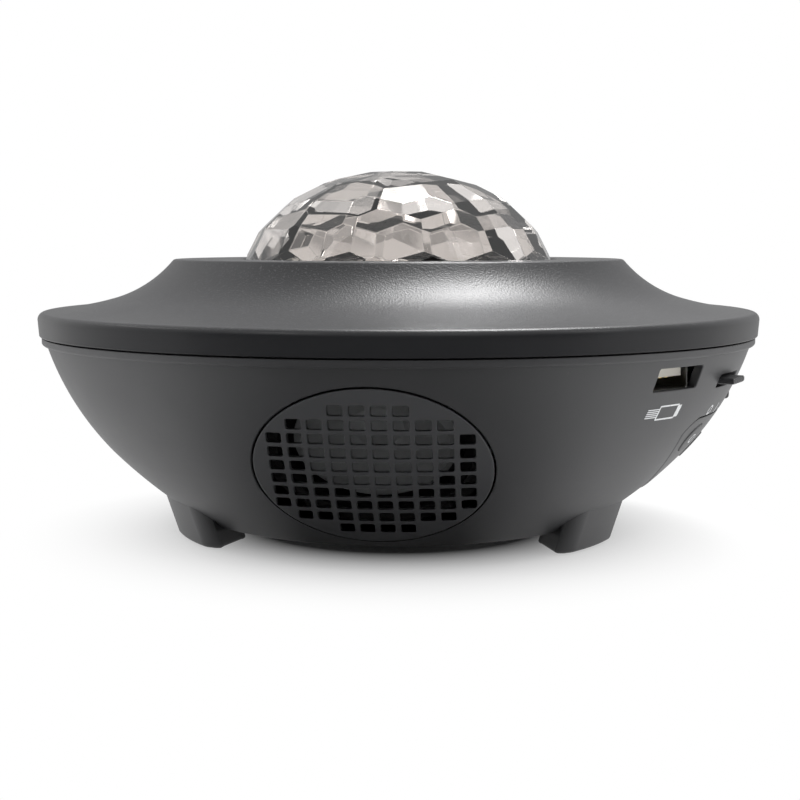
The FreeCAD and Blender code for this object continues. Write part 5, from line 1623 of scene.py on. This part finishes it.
@dataclass
class Marks:
    """Pad-printed marks: thin ribbons of ink carried along paths on the wall."""

    proud: float = 0.025
    sunk: float = 0.03
    stroke: float = 0.34
    nose: float = 1.15
    strand: float = 0.22
    strand_pitch: float = 0.42
    socket_place: tuple[float, float] = (49.7, 33.05)
    switch_place: tuple[float, float] = (68.6, 31.4)

    def ribbon(self, draft: Draft, window: Window, path: Points, width: float, closed: bool = False,
               lift: float = 0.0) -> None:
        """Add one ribbon.

        The four corners of its cross-section are the path moved half the width to either side along its
        normals, once just outside the wall and once just inside it.

        Args:
            draft: Draft that takes the ribbon.
            window: Place and direction from which the path is laid on the wall.
            path: Points (u, v) of the middle of the ribbon.
            width: Width of the ribbon.
            closed: Whether the path closes on itself.
            lift: Extra height over the wall, for marks on caps.
        """
        aside = sideways(path, closed) * width / 2
        out = window.axes()[2]
        corners = ((1, self.proud), (-1, self.proud), (-1, -self.sunk), (1, -self.sunk))
        rows = [FORM.landed(window.plane(path + aside * side), out, up + lift) for side, up in corners]
        grid = np.stack(rows)
        draft.grid(grid, wrap_rows=True, wrap_columns=closed)
        if not closed:
            draft.cap(grid[:, 0]).cap(grid[:, -1], flip=True)

    def line(self, draft: Draft, window: Window, start: Sequence[float], end: Sequence[float], width: float,
             lift: float = 0.0) -> None:
        """Add one straight ribbon.

        Args:
            draft: Draft that takes the ribbon.
            window: Place and direction from which the ribbon is laid on the wall.
            start: First point (u, v).
            end: Last point (u, v).
            width: Width of the ribbon.
            lift: Extra height over the wall.
        """
        share = np.linspace(0, 1, 9)[:, None]
        path = np.array([start]) * (1 - share) + np.array([end]) * share
        self.ribbon(draft, window, path, width, lift=lift)

    def socket_sign(self, finishes: Finishes) -> None:
        """Plug with its lead under the USB socket: a box, a thick nose and five strands.

        Args:
            finishes: All the finishes.
        """
        draft = Draft()
        window = Window(*self.socket_place, ellipse(1, 1, 8))
        box = bent_line([(-3.2, -1.4), (3.1, -1.4), (3.1, 1.4), (-3.2, 1.4)], 0.3, closed=True)
        self.ribbon(draft, window, box, self.stroke, closed=True)
        self.line(draft, window, (3.75, -1.25), (3.75, 1.25), self.nose)
        for number in range(5):
            level = self.strand_pitch * (number - 2)
            self.line(draft, window, (-6.9, level), (-3.3, level), self.strand)
        self.placed(draft, "sign_socket", "base", finishes)

    def switch_signs(self, finishes: Finishes) -> None:
        """Stroke and ring under the slide switch for on and off.

        Args:
            finishes: All the finishes.
        """
        draft = Draft()
        window = Window(*self.switch_place, ellipse(1, 1, 8))
        self.line(draft, window, (3.2, -1.0), (3.2, 1.0), self.stroke)
        ring = ellipse(0.95, 0.95, 36) + np.array([-2.6, 0.0])
        self.ribbon(draft, window, ring, self.stroke, closed=True)
        self.placed(draft, "sign_switch", "base", finishes)

    def button_signs(self, openings: Openings, proud: float, finishes: Finishes) -> None:
        """One simple sign on each button: ring, minus, triangle, plus and four-pointed star.

        Args:
            openings: Windows in the bowl.
            proud: How far the caps stand out of the panel.
            finishes: All the finishes.
        """
        fine, bold, reach, over = 0.28, 0.32, 1.1, 0.004
        turn = np.arange(8) / 8 * ROUND
        arm = np.where(np.arange(8) % 2 == 0, 1.35, 0.5)
        star = np.stack([arm * np.cos(turn), arm * np.sin(turn)], axis=1)
        triangle = bent_line([(-0.8, -1.1), (1.2, 0.0), (-0.8, 1.1)], 0.2, closed=True)
        for number in range(len(openings.buttons)):
            window = openings.button(number, 1.0)
            draft = Draft()
            if number == 0:
                self.ribbon(draft, window, ellipse(reach, reach, 36), 0.3, closed=True, lift=proud)
            if number in (1, 3):
                self.line(draft, window, (-reach, 0), (reach, 0), bold, proud)
            if number == 3:
                self.line(draft, window, (0, -reach), (0, reach), bold, proud + over)
            if number == 2:
                self.ribbon(draft, window, triangle, fine, closed=True, lift=proud)
            if number == 4:
                self.ribbon(draft, window, star, fine, closed=True, lift=proud)
            self.placed(draft, f"sign_button_{number + 1}", f"push_{number + 1}", finishes)

    @staticmethod
    def placed(draft: Draft, name: str, body: str, finishes: Finishes) -> None:
        """Turn a draft of ribbons into a piece that rides a body."""
        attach(stand(draft.mesh(name, merge=1e-6), finishes["print_ink"], 30), body)


# ------------------------------------------------------------------ dome

@dataclass
class Dome:
    """Clear dome: facets that touch an ellipsoid outside, larger ones inside it and a flange below."""

    radius: float = 36.0
    rise: float = 25.7
    centre: float = 57.6
    wall: float = 2.6
    flange: float = 39.3
    foot: float = 59.2
    flange_top: float = 61.2
    edge: float = 0.16
    inner_edge: float = 0.05
    below: float = 2.0
    rows: tuple[tuple[float, int, float], ...] = (
        (3.5, 18, 16.0), (20.0, 18, 6.0), (37.0, 15, 18.0), (54.0, 11, 4.0), (71.0, 6, 25.0),
        (90.0, 1, 0.0))
    inner_rows: tuple[tuple[float, int, float], ...] = (
        (2.0, 13, 11.0), (27.0, 13, 0.0), (50.0, 9, 14.0), (72.0, 5, 3.0), (90.0, 1, 0.0))

    def facets(self, rows: Sequence[tuple[float, int, float]], inset: float, foot: float, edge: float,
               name: str) -> bpy.types.Mesh:
        """Closed body between a foot and the tangent planes of every row, with a fine bevel on its edges.

        Args:
            rows: For each row its latitude, its number of planes and the azimuth of the first.
            inset: How far inside the outer ellipsoid the planes touch.
            foot: Height of the flat underside.
            edge: Width of the bevel.
            name: Name of the mesh.

        Returns:
            The mesh.
        """
        radius, rise = self.radius - inset, self.rise - inset
        wide, tall, halfway = radius * 1.2, rise * 1.5, rise * 0.75
        gem = bmesh.new()
        bmesh.ops.create_cone(gem, cap_ends=True, segments=96, radius1=wide, radius2=wide, depth=tall)
        bmesh.ops.translate(gem, vec=(0, 0, foot + halfway), verts=gem.verts)
        for latitude, count, first in rows:
            tilt = math.radians(latitude)
            touch = np.array([[0, -radius * math.cos(tilt), rise * math.sin(tilt)]])
            normal = np.array([[0, -math.cos(tilt) / radius, math.sin(tilt) / rise]])
            normal /= np.linalg.norm(normal)
            for number in range(count):
                swing = first + 360 / count * number
                spot = swung(touch, swing)[0] + np.array([0, 0, self.centre])
                self.sliced(gem, spot, swung(normal, swing)[0])
        bmesh.ops.dissolve_limit(gem, angle_limit=0.001, verts=gem.verts, edges=gem.edges)
        bmesh.ops.bevel(gem, geom=list(gem.edges), offset=edge, segments=2, profile=0.5, affect="EDGES",
                        clamp_overlap=True)
        bmesh.ops.scale(gem, vec=(MM, MM, MM), verts=gem.verts)
        mesh = bpy.data.meshes.new(name)
        gem.to_mesh(mesh)
        gem.free()
        return mesh

    @staticmethod
    def sliced(gem: bmesh.types.BMesh, spot: Points, way: Points) -> None:
        """Cut away what lies beyond a plane and close the cut.

        Args:
            gem: Body that is cut.
            spot: Point on the plane.
            way: Direction square to the plane, outwards.
        """
        whole = list(gem.verts) + list(gem.edges) + list(gem.faces)
        done = bmesh.ops.bisect_plane(gem, geom=whole, plane_co=spot.tolist(), plane_no=way.tolist(),
                                      clear_outer=True)
        edges = [item for item in done["geom_cut"] if isinstance(item, bmesh.types.BMEdge)]
        if edges:
            bmesh.ops.edgeloop_fill(gem, edges=edges)

    def build(self, finishes: Finishes) -> bpy.types.Object:
        """Join the facets with the flange, hollow them and let the piece stand for the CAD dome.

        Args:
            finishes: All the finishes.

        Returns:
            The piece.
        """
        skirt_line = bent_line([(0, self.foot), (self.flange, self.foot), (self.flange, self.flange_top),
                                (0, self.flange_top)], 8.0)
        skirt = Draft().grid(spun(skirt_line, 192), wrap_rows=True).mesh("dome_skirt")
        below = self.foot - self.below
        hollow = self.facets(self.inner_rows, self.wall, below, self.inner_edge, "dome_hollow")
        gem = self.facets(self.rows, 0.0, self.foot, self.edge, "dome_facets")
        mesh = opened(combined(gem, skirt, Boolean.TOGETHER, "dome_solid"), [hollow], "dome")
        piece = stand(mesh, finishes["dome_clear"], 30)
        mesh.polygons.foreach_set("use_smooth", np.zeros(len(mesh.polygons), dtype=bool))
        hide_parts("dome_lens")
        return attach(piece, "base")


# ------------------------------------------------------------------ CAD nodes that keep their meshes

NODE_FINISHES: dict[str, tuple[str, ...]] = {
    "inner_plastic": ("light_deck", "lamp_housing", "dome_ring", "switch_body", "motor_gearbox"),
    "white_plastic": ("disc_gear", "drive_pinion"),
    "tongue_plastic": ("usb_insulator",),
    "pad_rubber": ("foot_pad_1", "foot_pad_2", "foot_pad_3"),
    "gasket_foam": ("speaker_gasket",),
    # The cone's finish is lightened as painted light.
    "cone_paper": ("speaker_cone",),
    "frame_paint": ("speaker_frame",),
    "magnet_metal": ("speaker_magnet",),
    "plated_steel": ("board_screws", "deck_screws", "lamp_screws", "panel_screws", "port_screws",
                     "ring_screws", "shell_screws", "speaker_screws", "disc_axle", "motor_shaft"),
    "drawn_aluminium": ("heat_sink", "motor_can", "capacitor"),
    "turned_brass": ("laser_module", "jack_pin"),
    "board_lacquer": ("main_board", "port_board", "button_board", "led_board"),
    "chip_resin": ("radio_module", "tact_switch_1", "tact_switch_2", "tact_switch_3", "tact_switch_4",
                   "tact_switch_5"),
    "lamp_white": ("led_1", "led_2", "led_3"),
    "lens_clear": ("led_lens",),
    "ripple_clear": ("ripple_disc",),
}


def dress_nodes(frame: dict, finishes: Finishes) -> int:
    """Give every CAD node that stays visible its finish and return how many there are.

    Args:
        frame: What the frame was loaded as.
        finishes: All the finishes.

    Returns:
        Number of nodes.
    """
    count = 0
    for finish, nodes in NODE_FINISHES.items():
        for name in nodes:
            mesh = frame["nodes"][name].data
            if not mesh.materials:
                mesh.materials.append(finishes[finish])
            for index in range(len(mesh.materials)):
                mesh.materials[index] = finishes[finish]
            count += 1
    return count


# ------------------------------------------------------------------ room and camera

@dataclass
class Room:
    """Pale floor, dark flag, soft lights, surroundings and the camera, in metres and degrees."""

    floor_radius: float = 0.34
    lamp_place: tuple[float, float, float] = (0.17, 0.4, 1.0)
    lamp_size: tuple[float, float] = (0.34, 0.3)
    lamp_power: float = 16.0
    glint_size: tuple[float, float] = (0.07, 0.07)
    glint_power: float = 0.35
    # Where and how dim the floor is for mirror rays in front: a painted dark reflection.
    dark_reflection_fade: tuple[float, float] = (0.55, 0.93)
    dark_reflection_level: float = 0.05
    back_fade: tuple[float, float] = (0.6, 0.95)
    back_level: float = 0.5
    glints: tuple[tuple[float, float, float], ...] = (
        (-38.0, 0.55, 0.6), (24.0, 0.7, 0.75), (75.0, 0.6, 0.55), (-100.0, 0.6, 0.6), (170.0, 0.5, 0.8))
    streak_size: float = 9.0
    streak_edges: tuple[float, float] = (0.42, 0.5)
    streak_level: float = 0.12
    spark_size: float = 13.0
    spark_edges: tuple[float, float] = (0.14, 0.22)
    spark_level: float = 7.0
    shadow_full: float = 0.034
    shadow_end: float = 0.092
    flag_radius: float = 0.8
    flag_azimuths: tuple[float, float] = (-58.0, 62.0)
    flag_heights: tuple[float, float] = (-0.35, 0.5)
    ambient: float = 0.7
    distance: float = 0.3532
    azimuth: float = 4.3
    height: float = 0.0679
    pitch: float = 6.17
    lens: float = 67.2
    shift: float = 0.0019

    def floor(self) -> bpy.types.Object:
        """Round pale floor.

        It takes the shadow near the object and fades to plain white further out, for camera, clear and
        mirror rays. In front it shows mirror rays a painted dark reflection, which darkens the front's shine.

        Returns:
            The floor.
        """
        material, r, shader = shader_base("floor_paper")
        tone = r.mixed(r.noise(6.0, 2.0), (0.86, 0.86, 0.86, 1), (0.9, 0.9, 0.9, 1))
        r.fill(shader, Base_Color=tone, Roughness=0.9, Specular_IOR_Level=0.1)
        reach = r.node("ShaderNodeVectorMath", operation="LENGTH")
        r.fill(reach, Vector=r.place())
        away = r.spread(reach.outputs["Value"], self.shadow_full, self.shadow_end)
        away = r.maths("MULTIPLY", away, r.maths("SUBTRACT", 2.0, away))
        path = r.node("ShaderNodeLightPath")
        glossy = path.outputs["Is Glossy Ray"]
        seen = r.maths("MAXIMUM", path.outputs["Is Camera Ray"],
                       r.maths("MAXIMUM", glossy, path.outputs["Is Transmission Ray"]))
        ahead = r.maths("DIVIDE", r.maths("MULTIPLY", r.along("Y"), -1.0), reach.outputs["Value"])
        # Painted dark reflection: in front, mirror rays see the floor as a dim glow.
        painted_dark_reflection = r.maths("MULTIPLY", glossy, r.spread(ahead, *self.dark_reflection_fade))
        glow = r.node("ShaderNodeEmission")
        r.fill(glow, Color=(1, 1, 1, 1), Strength=r.spread(painted_dark_reflection, 0.0, 1.0, 1.0, self.dark_reflection_level))
        blend = r.node("ShaderNodeMixShader")
        r.fill(blend, Fac=r.maths("MULTIPLY", r.maths("MAXIMUM", away, painted_dark_reflection), seen))
        tree = material.node_tree
        tree.links.new(shader.outputs[0], blend.inputs[1])
        tree.links.new(glow.outputs[0], blend.inputs[2])
        end = next(node for node in tree.nodes if node.type == "OUTPUT_MATERIAL")
        tree.links.new(blend.outputs[0], end.inputs["Surface"])
        ring = np.pad(ellipse(self.floor_radius, self.floor_radius, 96), ((0, 0), (0, 1)))
        mesh = bpy.data.meshes.new("floor")
        mesh.from_pydata(ring.tolist(), [], [list(range(len(ring)))])
        mesh.materials.append(material)
        floor = bpy.data.objects.new("floor", mesh)
        bpy.context.scene.collection.objects.link(floor)
        return floor

    def flag(self) -> bpy.types.Object:
        """Curved dark cloth behind the camera, never seen itself, that darkens the front's shine.

        Returns:
            The flag.
        """
        material, r, shader = shader_base("flag_cloth")
        tone = r.mixed(r.noise(40.0, 2.0), (0.012, 0.012, 0.013, 1), (0.03, 0.03, 0.031, 1))
        r.fill(shader, Base_Color=tone, Roughness=0.95, Specular_IOR_Level=0.0)
        low, high = self.flag_azimuths
        turn = np.radians(np.linspace(low, high, 40))[None, :]
        height = np.array(self.flag_heights)[:, None]
        x, y = self.flag_radius * np.sin(turn), -self.flag_radius * np.cos(turn)
        grid = np.stack(np.broadcast_arrays(x, y, height), axis=2) / MM
        mesh = Draft().grid(grid).mesh("flag")
        mesh.materials.append(material)
        flag = bpy.data.objects.new("flag", mesh)
        flag.visible_camera = False
        bpy.context.scene.collection.objects.link(flag)
        return flag

    def card(self, name: str, where: tuple[float, float, float], size: tuple[float, float], power: float,
             target: tuple[float, float, float] = (0, 0, 0.04)) -> bpy.types.Object:
        """Soft rectangular light that looks at a point.

        Args:
            name: Name of the light.
            where: Its place.
            size: Its width and height.
            power: Its power in watts.
            target: Point that it looks at.

        Returns:
            The light.
        """
        data = bpy.data.lights.new(name, "AREA")
        data.shape = "RECTANGLE"
        data.size, data.size_y = size
        data.energy = power
        light = bpy.data.objects.new(name, data)
        light.location = where
        way = np.array(target) - np.array(where)
        level = math.hypot(way[0], way[1])
        light.rotation_euler = (math.atan2(level, -way[2]), 0, math.atan2(way[1], way[0]) - math.pi / 2)
        bpy.context.scene.collection.objects.link(light)
        return light

    def world(self) -> None:
        """Surroundings: white to the camera and dimmer as light.

        Rays through clear plastic meet darker streaks and small bright sparks in them, and mirror rays find
        them weaker behind the object.
        """
        world = bpy.data.worlds.new("surroundings")
        bpy.context.scene.world = world
        world.use_nodes = True
        tree = world.node_tree
        tree.nodes.clear()
        r = Recipe(tree)
        path = r.node("ShaderNodeLightPath")
        behind = r.spread(r.along("Y"), *self.back_fade, 1.0, self.back_level)
        streak = r.spread(r.noise(self.streak_size, 1.0), *self.streak_edges, self.streak_level, 1.0)
        spark = r.spread(r.cells(self.spark_size), *self.spark_edges, self.spark_level, 0.0)
        clear = r.maths("MULTIPLY", path.outputs["Is Transmission Ray"], r.maths("ADD", streak, spark))
        plain = r.maths("MAXIMUM", path.outputs["Is Camera Ray"], clear)
        shine = r.maths("MULTIPLY", path.outputs["Is Glossy Ray"], behind)
        dim = r.maths("MULTIPLY", r.maths("SUBTRACT", 1.0, path.outputs["Is Glossy Ray"]), self.ambient)
        back = r.node("ShaderNodeBackground")
        r.fill(back, Color=(1, 1, 1, 1), Strength=r.maths("MAXIMUM", plain, r.maths("MAXIMUM", shine, dim)))
        end = r.node("ShaderNodeOutputWorld")
        tree.links.new(back.outputs[0], end.inputs["Surface"])

    def camera(self) -> bpy.types.Object:
        """Camera a little above the rim, looking slightly down.

        Returns:
            The camera.
        """
        data = bpy.data.cameras.new("camera")
        data.lens = self.lens
        data.sensor_width = 36.0
        data.shift_x = self.shift
        camera = bpy.data.objects.new("camera", data)
        turn = math.radians(self.azimuth)
        camera.location = (self.distance * math.sin(turn), -self.distance * math.cos(turn), self.height)
        camera.rotation_euler = (math.radians(90 - self.pitch), 0, turn)
        bpy.context.scene.collection.objects.link(camera)
        bpy.context.scene.camera = camera
        return camera

    def build(self) -> None:
        """Set up the floor, the lights, the surroundings and the camera."""
        self.floor()
        self.flag()
        self.card("overhead", self.lamp_place, self.lamp_size, self.lamp_power)
        for number, (azimuth, reach, rise) in enumerate(self.glints):
            turn = math.radians(azimuth)
            self.card(f"glint_{number + 1}", (reach * math.sin(turn), -reach * math.cos(turn), rise),
                      self.glint_size, self.glint_power)
        self.world()
        self.camera()
        bpy.context.scene.view_settings.view_transform = "Standard"


# ------------------------------------------------------------------ everything in order


def report(name: str, count: int = 1) -> None:
    """Log a finished piece."""
    log.info("%s ready (%d)", name, count)


def main() -> None:
    """Load the frame, build every piece over it, dress the rest and set up the room."""
    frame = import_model()
    finishes = Finishes()
    report("finishes", len(finishes.made))
    openings = Openings()
    Cover().build(finishes)
    report("cover")
    Bowl().build(openings, finishes)
    report("bowl")
    for number, azimuth in enumerate(FOOT_AZIMUTHS, start=1):
        Foot(azimuth).build(number, finishes)
    report("feet", len(FOOT_AZIMUTHS))
    Grille().build(openings, finishes)
    report("grille")
    panel = ControlPanel()
    panel.build(openings, finishes)
    report("control panel")
    sockets = Sockets()
    sockets.tube(finishes)
    sockets.contacts(finishes)
    sockets.knob(finishes)
    sockets.jack(finishes)
    report("sockets", 4)
    marks = Marks()
    marks.socket_sign(finishes)
    marks.switch_signs(finishes)
    marks.button_signs(openings, panel.proud, finishes)
    report("printed marks", 7)
    Dome().build(finishes)
    report("dome")
    report("CAD nodes with a finish", dress_nodes(frame, finishes))
    Room().build()


if __name__ == "__main__":
    logging.basicConfig(level=logging.INFO, format="%(name)s: %(message)s")
    main()
